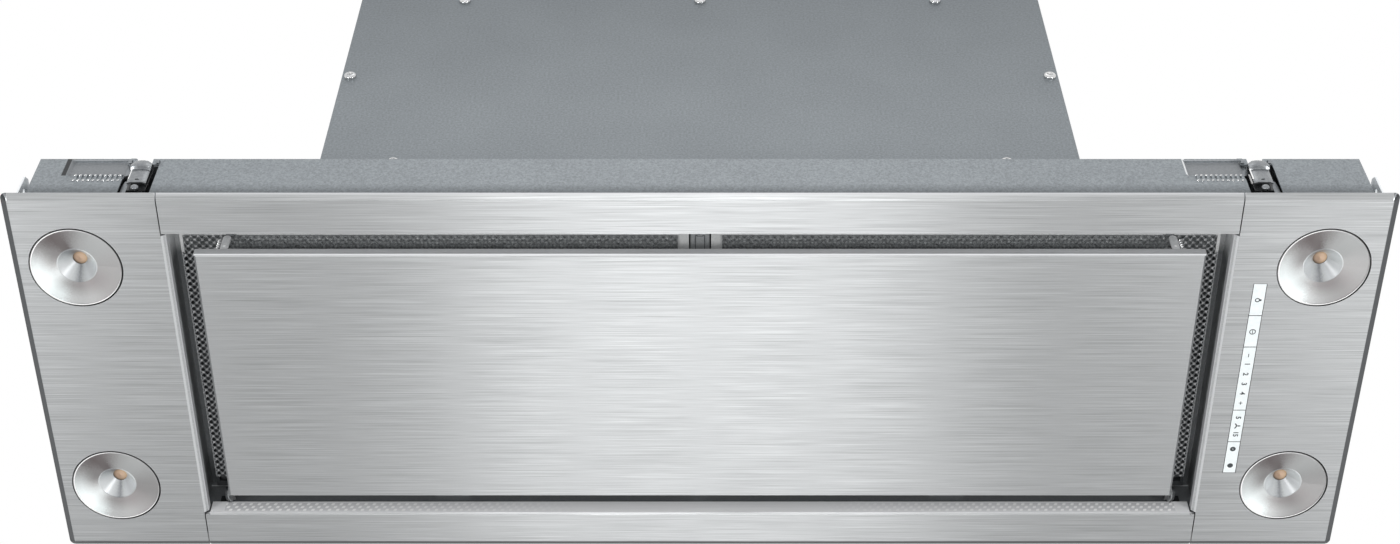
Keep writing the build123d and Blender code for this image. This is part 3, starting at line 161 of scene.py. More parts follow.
# Stainless steel, brushed along X with a belt: fine lines, and a highlight drawn out across them. The belt's lines
# are finer than 0.33 mm, which is as fine as shows at this size.
faceZones = [
    # painted light: the folded lips are painted lighter and less metallic, where they stand in the light that comes up
    # through the gap
    {"box": {"X": (None, 343), "Z": (2.1, None)}, "soft": 0.8, "colours": ("#bcbec0", "#cbccce"), "metallic": 0.3},
    # painted highlight along the bend of the side lips
    {
        "box": {"X": (339.3, 342.3), "Z": (0.1, 1.2), "Y": (-116.5, 116.5)},
        "colours": ("#c6c8ca", "#d6d8d9"), "metallic": 0.3,
    },
    # painted light on the rear lip
    {
        "box": {"X": (None, 340), "Y": (114.4, 116.3), "Z": (1.2, None)}, "soft": 0.6,
        "colours": ("#e6e7e9", "#f1f2f3"), "metallic": 0.1,
    },
    # painted reflection: the rear lip carries painted bright dashes for the mesh's strands that it mirrors, mostly
    # towards its ends
    {
        "box": {"X": (None, 329), "Y": (114.4, 116.3), "Z": (2.8, 11.0)}, "fade": {"X": (190, None)},
        "dashes": (5.7, 6.2, 3.6), "colours": ("#d2d3d5", "#ffffff"), "metallic": 0.0,
    },
    # painted light on the centre panel's edge: a painted highlight line along the front chamfer and both sides, and its
    # upright front painted a duller light tone
    {
        "box": {"X": (None, 330), "Y": (-99.95, -98.9), "Z": (0.7, 1.6)}, "soft": 0.2,
        "colours": ("#d2d4d6", "#dfe1e2"), "metallic": 0.4,
    },
    {"box": {"X": (328.6, 331), "Y": (-99, 102), "Z": (0.1, 1.7)}, "colours": ("#c9cbcd", "#d9dbdc"), "metallic": 0.3},
    {
        "box": {"X": (None, 331), "Y": (-100.6, -99.8), "Z": (1.8, None)}, "soft": 0.15,
        "colours": ("#b6b8ba", "#d6d7d9"),
    },
    # painted shade: the ends' and rear's bevelled edges are painted darker than the faces
    {"box": {"X": (435.8, None)}, "colours": ("#515355", "#5c5e60")},
    {"box": {"Y": (140.2, None)}, "soft": 1.2, "colours": ("#3c3e40", "#474a4c")},
    # painted shade inside the seams and holes: their cut edges are painted dark
    {"box": {"X": (341.2, 436), "Y": (-141, -116.2), "Z": (0.4, None)}, "colours": ("#2a2b2c", "#3a3b3c")},
    {"box": {"X": (341.2, 436), "Y": (116.2, 141), "Z": (0.4, None)}, "colours": ("#2a2b2c", "#3a3b3c")},
    {"box": {"X": (343, 436), "Y": (-141, 141), "Z": (0.4, None)}, "colours": ("#2a2b2c", "#3a3b3c")},
    # hinge tabs behind the panel, out of the light
    {"box": {"X": (317, 325), "Y": (99.5, 113), "Z": (2.5, None)}, "colours": ("#3a3b3c", "#48494a")},
]
faceBrush = {
    "colours": ("#a1a3a4", "#d5d7d8"), "rough": (0.37, 0.31), "anisotropic": 0.75,
    "lineMm": (80, 0.33, 0.33), "streakMm": (300, 2, 2), "streakShare": 0.1, "deepMm": 0.015,
}


def brushedStainless(name, look, zones):
    material, tree, shader = newMaterial(name, look["colours"][0], 1.0, look["rough"][1], look["anisotropic"])
    fine = grain(tree, look["lineMm"], detail=3.0, rough=0.7)
    wide = grain(tree, look["streakMm"], detail=2.0, offset=(3.1, 7.7, 1.3))
    both = addNode(tree, "Mix", {0: look["streakShare"], 2: fine, 3: wide})
    paint(tree, shader, both, look["colours"], zones, 1.0)
    uneven = {**grainRange, "Value": both, "To Min": look["rough"][0], "To Max": look["rough"][1]}
    feed(tree, shader, {
        "Roughness": addNode(tree, "MapRange", uneven),
        "Tangent": addNode(tree, "CombineXYZ", {"Y": 1.0}),
        "Normal": addNode(tree, "Bump", {"Height": fine, "Strength": bumpStrength, "Distance": look["deepMm"] * mm}),
    })
    return material


faceSteel = brushedStainless("stainless brushed 240 grit", faceBrush, faceZones)


# Galvanised sheet, skin-passed: a flat grey-blue with a sandy grain and hardly any cloud
def galvanisedSheet(name, colours, rough=0.5, metallic=0.75, grainMm=1.6, zones=()):
    material, tree, shader = newMaterial(name, colours[0], metallic, rough)
    sand = grain(tree, (grainMm, grainMm, grainMm), detail=4.0, rough=0.75)
    cloud = grain(tree, (60, 60, 60), detail=3.0, offset=(2.2, 5.1, 0.7))
    paint(tree, shader, addNode(tree, "Mix", {0: 0.1, 2: sand, 3: cloud}), colours, zones, metallic)
    uneven = {**grainRange, "Value": sand, "To Min": rough - 0.06, "To Max": rough + 0.08}
    feed(tree, shader, {
        "Roughness": addNode(tree, "MapRange", uneven),
        "Normal": addNode(tree, "Bump", {"Height": sand, "Strength": bumpStrength, "Distance": 0.03 * mm}),
    })
    return material


galvanised = galvanisedSheet("galvanised sheet skin-passed", ("#7d8286", "#a3a9ad"))
# painted shade: the front wall is painted darker towards the face, and its pockets get painted shade on their planes
# and in a dark band at the side that turns away from the room, with painted light along an edge and at their tops
wallSheet = galvanisedSheet("galvanised sheet of the front wall", ("#7d8286", "#a3a9ad"), zones=[
    # painted shade towards the face
    {"box": {"Z": (None, 25)}, "soft": 9, "colours": ("#62676a", "#83888c")},
    # painted shade: a dark band at the outer side of the left pockets
    {
        "box": {"x": (-411.2, -408.2), "Z": (39.5, None), "Y": (None, -134)}, "soft": 0.6,
        "colours": ("#26282a", "#313335"), "metallic": 0.3,
    },
    # painted shade on the side run of the left pockets
    {"box": {"x": (-408.2, -405), "Z": (41, None), "Y": (None, -132)}, "colours": ("#808386", "#94979a")},
    # painted highlight along the left edge of the right pockets
    {
        "box": {"x": (313.2, 314.8), "Z": (41, None), "Y": (-135.3, -133)},
        "colours": ("#e6e8e9", "#f0f1f2"), "metallic": 0.1,
    },
    # painted shade on the pockets' planes
    {"box": {"X": (313, 408), "Y": (-133.5, -132), "Z": (43, None)}, "colours": ("#808386", "#94979a")},
    # painted light over the shadow at the pockets' tops
    {"box": {"X": (313, 408), "Y": (-133.5, -132), "Z": (57.2, None)}, "soft": 0.6, "colours": ("#9a9da0", "#abaeb1")},
    {
        "box": {"X": (313, 408), "Y": (-134.85, -132), "Z": (58.8, None)}, "soft": 0.2,
        "colours": ("#b0b3b6", "#bfc2c5"), "metallic": 0.2,
    },
])
# painted light: the side tabs are painted nearly white, lighter than the galvanised sheet
paintedLightTabSheet = galvanisedSheet("galvanised sheet of the side tabs", ("#e6eaed", "#f2f5f7"), rough=0.4, metallic=0.1)
# the bent lugs have been drawn smooth in the press
lugSteel = galvanisedSheet("galvanised sheet of the lugs", ("#7f8386", "#989ca0"), rough=0.35, metallic=0.8)
# painted shade: the box is painted slowly darker towards its top
galvanisedBox = galvanisedSheet("galvanised sheet motor box", ("#72777b", "#959b9f"), zones=[
    {"box": {"Z": (230, None)}, "soft": 170, "colours": ("#676c70", "#868c90")},
])


def plainFinish(name, colours, metallic, roughness, grainMm=0.8, bumpMm=0.01):
    material, tree, shader = newMaterial(name, colours[0], metallic, roughness)
    sand = grain(tree, (grainMm, grainMm, grainMm), detail=3.0, rough=0.6)
    cloud = grain(tree, (25, 25, 25), detail=2.0, offset=(1.7, 3.3, 9.1))
    both = addNode(tree, "Mix", {0: 0.5, 2: sand, 3: cloud})
    uneven = {**grainRange, "Value": cloud, "To Min": roughness * 0.88, "To Max": roughness * 1.12}
    feed(tree, shader, {
        "Base Color": addNode(tree, "ValToRGB", {"Fac": both}, stops=zip(closeStops, colours)),
        "Roughness": addNode(tree, "MapRange", uneven),
        "Normal": addNode(tree, "Bump", {"Height": sand, "Strength": bumpStrength, "Distance": bumpMm * mm}),
    })
    return material


# Zinc on the magnet's keeper, gone dull: a flat mid grey
keeperPlate = plainFinish("dull zinc keeper plate", ("#7c7f81", "#8b8e90"), 0.3, 0.5, grainMm=0.6)
# Bright zinc: a small uneven mirror
zincPlate = plainFinish("bright zinc plate", ("#c2c4c6", "#dcdcdb"), 1.0, 0.16, grainMm=2.0)
# Aluminium as it leaves the mill: pale, with a soft sheen
millAluminium = plainFinish("mill finish aluminium", ("#e0e2e3", "#eeefef"), 0.25, 0.4)


def zonedSheet(name, colours, metallic, roughness, zones, grainMm=1.2):
    material, tree, shader = newMaterial(name, colours[0], metallic, roughness)
    sand = grain(tree, (grainMm, grainMm, grainMm), detail=3.0, rough=0.6)
    paint(tree, shader, sand, colours, zones, metallic)
    bump = {"Height": sand, "Strength": bumpStrength, "Distance": 0.01 * mm}
    feed(tree, shader, {"Normal": addNode(tree, "Bump", bump)})
    return material


# Sheet of the recess: dark with painted shade up inside, painted light at the front, and a painted highlight line at
# its fold and at the rear
recessSteel = zonedSheet("sheet of the recess with painted shade", ("#7b7e80", "#888b8d"), 0.5, 0.38, [
    {"box": {"Y": (None, -82)}, "soft": 9, "colours": ("#d0d2d3", "#dddfe0"), "metallic": 0.2},
    {"box": {"X": (343, 344), "Z": (None, 26.5)}, "soft": 5, "colours": ("#c4c6c8", "#d2d4d5"), "metallic": 0.2},
    {"box": {"Y": (117.5, None)}, "colours": ("#7c7f82", "#878a8d"), "metallic": 0.3},
    {"box": {"Y": (117.5, None), "Z": (33.4, 34.6)}, "colours": ("#d0d2d4", "#dcdee0"), "metallic": 0.1},
])
# Filter frames: pale along the front, partly painted light, with painted shade at the sides and rear and a painted
# highlight line at the outer edge
filterRail = zonedSheet("mill finish aluminium of the filter frames", ("#eef0f0", "#fafafa"), 0.1, 0.4, [
    {"box": {"X": (334.5, None), "Y": (-82, None)}, "soft": 1, "colours": ("#282a2c", "#323436"), "metallic": 0.3},
    {
        "box": {"X": (337.1, None), "Y": (-82, None), "Z": (None, 27.3)},
        "colours": ("#b3b5b7", "#c0c2c4"), "metallic": 0.3,
    },
    {"box": {"Y": (103.6, None)}, "colours": ("#45484a", "#515456"), "metallic": 0.3},
])
# Divider: two pale bars, with a darker face between the dark lines of its tongue
dividerSheet = zonedSheet("galvanised sheet of the divider", ("#dcdfe1", "#e8eaeb"), 0.2, 0.42, [
    {"box": {"X": (None, 6.9)}, "colours": ("#b4b7b9", "#c2c4c6")},
    {"box": {"X": (2.75, 3.1), "Y": (-96.2, None)}, "soft": 0.2, "colours": ("#3c3f41", "#494c4e")},
    {"box": {"X": (None, 2.9), "Y": (-96.5, -96.1)}, "soft": 0.2, "colours": ("#3c3f41", "#494c4e")},
])
# Hinge sheet: painted nearly black for the corner's shade, with one cut edge painted light
hingeSheet = zonedSheet("sheet of the hinge brackets with painted shade", ("#303234", "#3a3d3f"), 0.4, 0.4, [
    {"box": {"X": (324.9, 325.5), "Y": (98, 116)}, "colours": ("#a6a9ab", "#b5b8ba"), "metallic": 0.3},
])

# Expanded aluminium: painted light makes the outer ends brighter and more contrasty than the middle, where light comes
# in at the side gaps. Painted highlights lie on the flat bonds between the diamonds, and the strands between them turn
# away.
filterFace = {
    "window": (14.4, -97.8, 337.2, 108.8), "corner": (334.2, -84.0), "rear": 103.5, "low": 26.0, "rise": 0.7,
    "diamond": (4.9, 5.0), "middle": (175.8, 5.5), "strand": 1.15, "sheet": 0.35,
}


def filterFinish(name, colours, metallic, roughness, grainMm, bondHighlight, zones):
    material, tree, shader = newMaterial(name, colours[0], metallic, roughness)
    sand = grain(tree, (grainMm, grainMm, grainMm), detail=3.0, rough=0.6)
    tone = sand
    if bondHighlight:
        parts = placeParts(tree)
        fromMiddle = (addNode(tree, "Math", {0: parts["X"]}, operation="ABSOLUTE"), parts["Y"])
        away = [
            addNode(tree, "Math", {0: place, 1: middle * mm}, operation="SUBTRACT")
            for place, middle in zip(fromMiddle, filterFace["middle"])
        ]
        tone = addNode(tree, "Mix", {0: bondHighlight, 2: sand, 3: lattice(tree, away, filterFace["diamond"], 0.8)})
    paint(tree, shader, tone, colours, zones, metallic)
    bump = {"Height": sand, "Strength": bumpStrength, "Distance": 0.02 * mm}
    feed(tree, shader, {"Normal": addNode(tree, "Bump", bump)})
    return material


filterStrands = filterFinish("expanded aluminium strands", ("#8d9092", "#a9acad"), 0.25, 0.35, 1.0, 0.75, [
    # painted light at the outer ends
    {"box": {"X": (305, None)}, "soft": 4, "colours": ("#7b7e80", "#c0c1c2")},
])
# Crushed strands behind: an uneven grey, with painted deep shade at the outer ends and painted light again in the front
# corners
packDepth = filterFinish("inner strands of the filter", ("#c0c3c5", "#d8dbdc"), 0.2, 0.55, 2.2, 0.0, [
    {"box": {"X": (305, None)}, "soft": 4, "colours": ("#4a4c4e", "#5a5c5e")},
    {"box": {"X": (305, None), "Y": (None, -86)}, "soft": 3, "colours": ("#8d9092", "#a0a3a4")},
])
# Printed ink: flat dark grey
signInk = plainFinish("grey pad-printed ink", ("#33383b", "#3f4447"), 0.0, 0.5, grainMm=0.5, bumpMm=0.002)
# Moulded plastics: even colour, a faint moulded texture and a broad dull shine
moulding = plainFinish("moulded black polypropylene", ("#17181a", "#222326"), 0.0, 0.45, bumpMm=0.03)
greyMoulding = plainFinish("moulded grey polyamide", ("#3b3d40", "#4a4c4f"), 0.0, 0.42, bumpMm=0.03)
# Baked paint: black, with a tighter shine than the plastics
motorPaint = plainFinish("black baked paint", ("#1b1c1e", "#27292b"), 0.0, 0.32)
# Rubber: black with hardly any shine
softRubber = plainFinish("soft black rubber", ("#101010", "#1b1b1b"), 0.0, 0.75)
# Solder mask: dark green under a clear gloss
boardGreen = plainFinish("solder-masked board", ("#0f4a26", "#17602f"), 0.0, 0.3)
# Acrylic keys: a clean cool white gloss, with painted shade on their sides that draws the lines between them
keyGloss = zonedSheet("glossy white acrylic", ("#e3eaeb", "#edf2f3"), 0.0, 0.16, [
    {"box": {"Z": (0.12, None)}, "soft": 0.1, "colours": ("#33373a", "#3f4346")},
], grainMm=4.0)


# Turned aluminium: its grain runs round each lamp, and each bright or dark part of the room is painted into the colour
# as a lobe of painted reflection or painted shade that fans out from the middle. A lobe is the way it lies, in degrees
# from -X towards -Y, its half width and its lift. The base is the tone between the lobes, and tones go from dark at 0
# to light at 1.
lampMiddle = (399.5, 90.0)
dishLook = {
    "inner": {
        "dark": "#120000", "light": "#f8ffff", "base": 0.58,
        "lobes": [(330, 35, 0.3), (70, 15, -0.24), (125, 65, 0.2)],
    },
    "outer": {
        "dark": "#120000", "light": "#f8ffff", "base": 1.0,
        "lobes": [(315, 20, 0.28), (215, 100, -0.36), (60, 40, -0.5)],
    },
    "from": 16.0, "to": 24.0, "lipFrom": 28.35, "rimFrom": 28.95, "lipMetallic": 0.2,
    # painted highlight on the lip and painted shade on the rim
    "lip": {"dark": "#000000", "light": "#ffffff", "base": 0.55, "lobes": [(250, 45, 0.44), (5, 95, 0.74)]},
    "rim": {"dark": "#000000", "light": "#ffffff", "base": 0.34, "lobes": [(315, 50, 0.62), (210, 110, -0.28)]},
}
cupLook = {
    "inner": {
        "dark": "#000006", "light": "#fbffff", "base": 0.94,
        "lobes": [(70, 40, -0.36), (260, 30, 0.16), (270, 15, -0.28), (255, 70, -0.3)],
    },
}
ledLook = {
    "inner": {"dark": "#160300", "light": "#ebccad", "base": 0.85, "lobes": [(290, 55, -0.18), (20, 55, -0.15)]},
    "outer": {"dark": "#000000", "light": "#f3cda3", "base": 0.81, "lobes": [(325, 80, -0.5), (75, 50, -0.08)]},
    "from": 2.6, "to": 4.5,
}


def fanStops(ring, steps=24):
    # The ring's painted light and shade once round the lamp
    dark, light = ([int(ring[end][i:i + 2], 16) for i in (1, 3, 5)] for end in ("dark", "light"))
    stops = []
    for step in range(steps + 1):
        level = ring["base"]
        for way, wide, lift in ring["lobes"]:
            off = (360 * step / steps - way + 180) % 360 - 180
            level += lift * math.exp(-(off / wide) ** 2)
        level = min(max(level, 0), 1)
        tone = "".join(f"{round(low + (high - low) * level):02x}" for low, high in zip(dark, light))
        stops.append((step / steps, "#" + tone))
    return stops


def paintedFanFinish(name, look, metallic, roughness, anisotropic=0.0):
    material, tree, shader = newMaterial(name, look["inner"]["light"], metallic, roughness, anisotropic)
    parts = placeParts(tree)
    away = []
    for axis, middle in zip("XY", lampMiddle):
        side = addNode(tree, "Math", {0: parts[axis]}, operation="SIGN")
        away.append(addNode(tree, "Math", {0: side, 1: -middle * mm, 2: parts[axis]}, operation="MULTIPLY_ADD"))
    outward = addNode(tree, "CombineXYZ", {"X": away[0], "Y": away[1]})
    if anisotropic:
        feed(tree, shader, {"Tangent": addNode(tree, "VectorMath", {0: outward}, operation="NORMALIZE")})
    length = addNode(tree, "VectorMath", {0: outward}, "Value", operation="LENGTH")
    angle = addNode(tree, "Math", {0: away[1], 1: away[0]}, operation="ARCTAN2")
    around = addNode(tree, "MapRange", {"Value": angle, "From Min": -math.pi, "From Max": math.pi})
    sand = grain(tree, (1.1, 1.1, 1.1))
    uneven = addNode(tree, "MapRange", {**grainRange, "Value": sand, "To Min": -0.008, "To Max": 0.008})
    turn = addNode(tree, "Math", {0: around, 1: uneven}, operation="ADD")
    layers = [(None, look["inner"])]
    if "outer" in look:
        fade = {"Value": length, "From Min": look["from"] * mm, "From Max": look["to"] * mm}
        layers.append((addNode(tree, "MapRange", fade), look["outer"]))
    if "lip" in look:
        beyond = [
            addNode(tree, "Math", {0: length, 1: look[edge] * mm}, operation="GREATER_THAN")
            for edge in ("lipFrom", "rimFrom")
        ]
        layers += zip(beyond, (look["lip"], look["rim"]))
        feed(tree, shader, {"Metallic": addNode(tree, "Mix", {0: beyond[0], 2: metallic, 3: look["lipMetallic"]})})
    colour = None
    for share, ring in layers:
        fan = addNode(tree, "ValToRGB", {"Fac": turn}, stops=fanStops(ring))
        colour = fan if share is None else addNode(tree, "Mix", {0: share, 6: colour, 7: fan}, 2, data_type="RGBA")
    feed(tree, shader, {
        "Base Color": colour,
        "Normal": addNode(tree, "Bump", {"Height": sand, "Strength": bumpStrength, "Distance": 0.01 * mm}),
    })
    return material


# Satin dish: a greyer bowl and an outer ring with painted reflections of the room, and a painted highlight on the lip
# before the painted shade of the rim
dishSatin = paintedFanFinish("turned satin aluminium", dishLook, 1.0, 0.36, anisotropic=0.6)
# Anodised cup: paler and softer, with painted reflection lobes and no highlight drawn out
reflector = paintedFanFinish("anodised aluminium reflector", cupLook, 0.7, 0.42)
# Phosphor over the diodes: a matt amber spot, with painted shade at the side away from the light
emitter = paintedFanFinish("yellow phosphor", ledLook, 0.0, 0.45)
# Satin nickel: a pale soft metal, with painted white highlights where its round top and its foot catch the light
strikerSatin = zonedSheet("satin nickel plate", ("#cfd1d2", "#dfe0e1"), 0.1, 0.3, [
    {"box": {"Z": (23.4, None)}, "soft": 1.0, "colours": ("#ffffff", "#ffffff"), "metallic": 0.0},
    {"box": {"X": (304.9, 306.5), "Z": (11.2, 13.0)}, "soft": 0.9, "colours": ("#ffffff", "#ffffff"), "metallic": 0.0},
])
# Nickel on spring steel: mirrors dark and light, with painted shade inside the fold and low on the strip, and a painted
# highlight line at its left edges
springNickel = zonedSheet("nickel-plated spring steel", ("#83868a", "#95989a"), 0.8, 0.26, [
    {"box": {"Y": (-133.3, 133.3)}, "colours": ("#343638", "#3f4143"), "metallic": 0.4},
    {"box": {"Z": (25.8, 28.4)}, "colours": ("#343638", "#3f4143"), "metallic": 0.4},
    {"box": {"x": (-367, -366), "Z": (33, 44)}, "colours": ("#f4f5f5", "#ffffff"), "metallic": 0.1},
    {"box": {"x": (354, 355), "Z": (33, 44)}, "colours": ("#f4f5f5", "#ffffff"), "metallic": 0.1},
], grainMm=3.0)
# Tinned wire: thin turns painted nearly white, as painted light for their glints
coilWire = plainFinish("tinned spring wire", ("#f4f5f5", "#ffffff"), 0.3, 0.22, grainMm=1.0)

finishes = {
    faceSteel: ["left_end_panel", "right_end_panel", "front_strip", "rear_strip", "panel_skin"],
    galvanised: [
        "panel_backing", "housing_rear_wall", "housing_left_wall", "housing_right_wall", "housing_top_plate",
        "scroll_left_half", "scroll_right_half", "motor_bracket",
    ],
    wallSheet: ["housing_front_wall"],
    recessSteel: ["recess_frame"],
    dividerSheet: ["filter_divider"],
    hingeSheet: ["hinge_brackets", "hinge_pins"],
    filterRail: ["left_filter_frame", "right_filter_frame"],
    filterStrands: ["left_filter_mesh", "right_filter_mesh"],
    paintedLightTabSheet: ["side_brackets"],
    keeperPlate: ["panel_catches"],
    galvanisedBox: [
        "motor_box_left_wall", "motor_box_right_wall", "motor_box_rear_wall", "motor_box_top_plate",
        "motor_box_front_cover",
    ],
    millAluminium: ["left_flap", "right_flap", "impeller"],
    zincPlate: [
        "panel_strikers", "clamp_front_left", "clamp_front_right", "clamp_rear_left", "clamp_rear_right",
        "clamp_screws", "cover_screws", "motor_shaft", "flap_pin", "lamp_clips",
    ],
    dishSatin: ["lamp_rims"],
    reflector: ["lamp_reflectors"],
    emitter: ["lamp_leds"],
    keyGloss: ["key_light", "key_power", "key_level", "key_timer", "key_filter"],
    moulding: ["left_filter_latch", "right_filter_latch", "control_tray", "exhaust_collar"],
    greyMoulding: ["cable_gland", "electronics_box", "lamp_modules"],
    boardGreen: ["control_board"],
    motorPaint: ["motor"],
    softRubber: ["motor_bushes"],
}
for material, names in finishes.items():
    for name in names:
        for place in nodes[name].material_slots:
            place.material = material
print("finishes on the CAD nodes")


# modelling helpers, in millimetres
def deselectAll():
    if bpy.context.object and bpy.context.object.mode != "OBJECT":
        bpy.ops.object.mode_set(mode="OBJECT")
    bpy.ops.object.select_all(action="DESELECT")


def editAll():
    bpy.ops.object.mode_set(mode="EDIT")
    bpy.ops.mesh.select_all(action="SELECT")


def pick(kind, test):
    # Leaves the active piece in edit mode with what passes the test selected, by its middle and its normal
    piece = bpy.context.object
    bpy.ops.object.mode_set(mode="EDIT")
    bpy.ops.mesh.select_mode(type=kind)
    bpy.ops.mesh.select_all(action="DESELECT")
    bpy.ops.object.mode_set(mode="OBJECT")
    mesh = piece.data
    if kind == "FACE":
        for face in mesh.polygons:
            face.select = test(face.center / mm, face.normal)
    elif kind == "EDGE":
        for edge in mesh.edges:
            one, two = (mesh.vertices[i].co for i in edge.vertices)
            edge.select = test((one + two) / 2 / mm, two - one)
    else:
        for vertex in mesh.vertices:
            vertex.select = test(vertex.co / mm, vertex.normal)
    bpy.ops.object.mode_set(mode="EDIT")


def settle(name):
    # Object at the origin, unturned and unscaled, with its place in its mesh
    bpy.ops.object.mode_set(mode="OBJECT")
    bpy.ops.object.transform_apply(location=True, rotation=True, scale=True)
    piece = bpy.context.object
    piece.name = name
    return piece


def modify(kind, **settings):
    piece = bpy.context.object
    modifier = piece.modifiers.new(kind.lower(), kind)
    for key, value in settings.items():
        setattr(modifier, key, value)
    bpy.ops.object.modifier_apply(modifier=modifier.name)


def thicken(name, sheet):
    settle(name)
    modify("SOLIDIFY", thickness=sheet * mm, offset=0)
    return bpy.context.object


def extrudeBy(x, y, z):
    bpy.ops.mesh.extrude_region_move(TRANSFORM_OT_translate={"value": (x * mm, y * mm, z * mm)})


def moveBy(x, y, z):
    bpy.ops.transform.translate(value=(x * mm, y * mm, z * mm))


def uprightPlane(name, middle, width, height):
    # A sheet that faces along Y
    deselectAll()
    bpy.ops.mesh.primitive_plane_add(size=1, location=Vector(middle) * mm, rotation=(math.radians(90), 0, 0))
    bpy.context.object.scale = (width * mm, height * mm, 1)
    return settle(name)


def copyTo(piece, x, y, z):
    deselectAll()
    piece.select_set(True)
    bpy.context.view_layer.objects.active = piece
    bpy.ops.object.duplicate()
    bpy.context.object.location = (x * mm, y * mm, z * mm)
    return bpy.context.object


def joinPieces(parts):
    deselectAll()
    for part in parts:
        part.select_set(True)
    bpy.context.view_layer.objects.active = parts[0]
    bpy.ops.object.join()
    return bpy.context.object


def dress(piece, material, body, stands=(), smooth=40):
    piece.data.materials.clear()
    piece.data.materials.append(material)
    deselectAll()
    piece.select_set(True)
    bpy.context.view_layer.objects.active = piece
    if smooth:
        bpy.ops.object.shade_smooth_by_angle(angle=math.radians(smooth))
    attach(piece, body)
    if stands:
        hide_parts(*stands)


# Filter faces: expanded aluminium, a lattice of diamonds whose strands slope, over a darker pack
def expandedFace(side):
    lowX, lowY, highX, highY = filterFace["window"]
    acrossX, acrossY = filterFace["diamond"]
    cells = math.ceil((highX - lowX) / acrossX + (highY - lowY) / acrossY) + 2
    cells += cells % 2
    middle = Vector((side * (lowX + highX) / 2, (lowY + highY) / 2, filterFace["low"])) * mm
    deselectAll()
    bpy.ops.mesh.primitive_grid_add(x_subdivisions=cells, y_subdivisions=cells, size=cells)
    editAll()
    bpy.ops.transform.rotate(value=math.radians(45), orient_axis="Z", center_override=(0, 0, 0))
    diamond = (acrossX * mm / math.sqrt(2), acrossY * mm / math.sqrt(2), 1)
    bpy.ops.transform.resize(value=diamond, center_override=(0, 0, 0))
    pick("VERT", lambda at, normal: round(abs(at.y) / (acrossY / 2)) % 2 == 1)
    moveBy(0, 0, filterFace["rise"])
    halfX, halfY = (highX - lowX) / 2 * mm, (highY - lowY) / 2 * mm
    rearY = filterFace["rear"] * mm - middle.y
    for point, way in (
        ((halfX, 0, 0), (1, 0, 0)), ((-halfX, 0, 0), (-1, 0, 0)),
        ((0, rearY, 0), (0, 1, 0)), ((0, -halfY, 0), (0, -1, 0)),
    ):
        bpy.ops.mesh.select_all(action="SELECT")
        bpy.ops.mesh.bisect(plane_co=point, plane_no=way, clear_outer=True)
    bpy.ops.mesh.select_mode(type="FACE")
    bpy.ops.mesh.select_all(action="SELECT")
    bpy.ops.mesh.inset(thickness=filterFace["strand"] / 2 * mm, use_individual=True)
    bpy.ops.mesh.delete(type="FACE")
    bpy.ops.mesh.select_all(action="SELECT")
    bpy.ops.transform.translate(value=middle)
    name = "leftFilterFace" if side < 0 else "rightFilterFace"
    settle(name)
    cornerX, cornerY = filterFace["corner"]
    pick("FACE", lambda at, normal: abs(at.x) > cornerX and at.y < cornerY)
    bpy.ops.mesh.delete(type="FACE")
    return thicken(name, filterFace["sheet"])


filterPack = {
    "window": (14.4, -97.8, 336.2, 108.8), "low": 31.0, "high": 35.3, "cells": (150, 96),
    "patch": 2.1, "crush": 0.8, "even": 0.3,
}


def innerPack(side):
    # Layers of crushed strand inside the filter: only a dark, uneven depth is seen through the face
    lowX, lowY, highX, highY = filterPack["window"]
    cellsX, cellsY = filterPack["cells"]
    patch = filterPack["patch"]
    deselectAll()
    bpy.ops.mesh.primitive_grid_add(x_subdivisions=cellsX, y_subdivisions=cellsY, size=1)
    editAll()
    bpy.ops.transform.resize(value=((highX - lowX) * mm, (highY - lowY) * mm, 1), center_override=(0, 0, 0))
    pick("FACE", lambda at, normal: (int(at.x // patch) + int(at.y // patch)) % 2 == 0)
    bpy.ops.transform.vertex_random(offset=filterPack["crush"] * mm, uniform=filterPack["even"], normal=1.0, seed=4)
    bpy.ops.mesh.select_all(action="SELECT")
    moveBy(side * (lowX + highX) / 2, (lowY + highY) / 2, filterPack["low"])
    pack = settle("leftFilterPack" if side < 0 else "rightFilterPack")
    modify("SOLIDIFY", thickness=(filterPack["high"] - filterPack["low"]) * mm, offset=1)
    return pack


for side, word in ((-1, "left"), (1, "right")):
    dress(expandedFace(side), filterStrands, "hood", (word + "_filter_mesh",), smooth=0)
    dress(innerPack(side), packDepth, "hood", smooth=0)
print("filter faces")

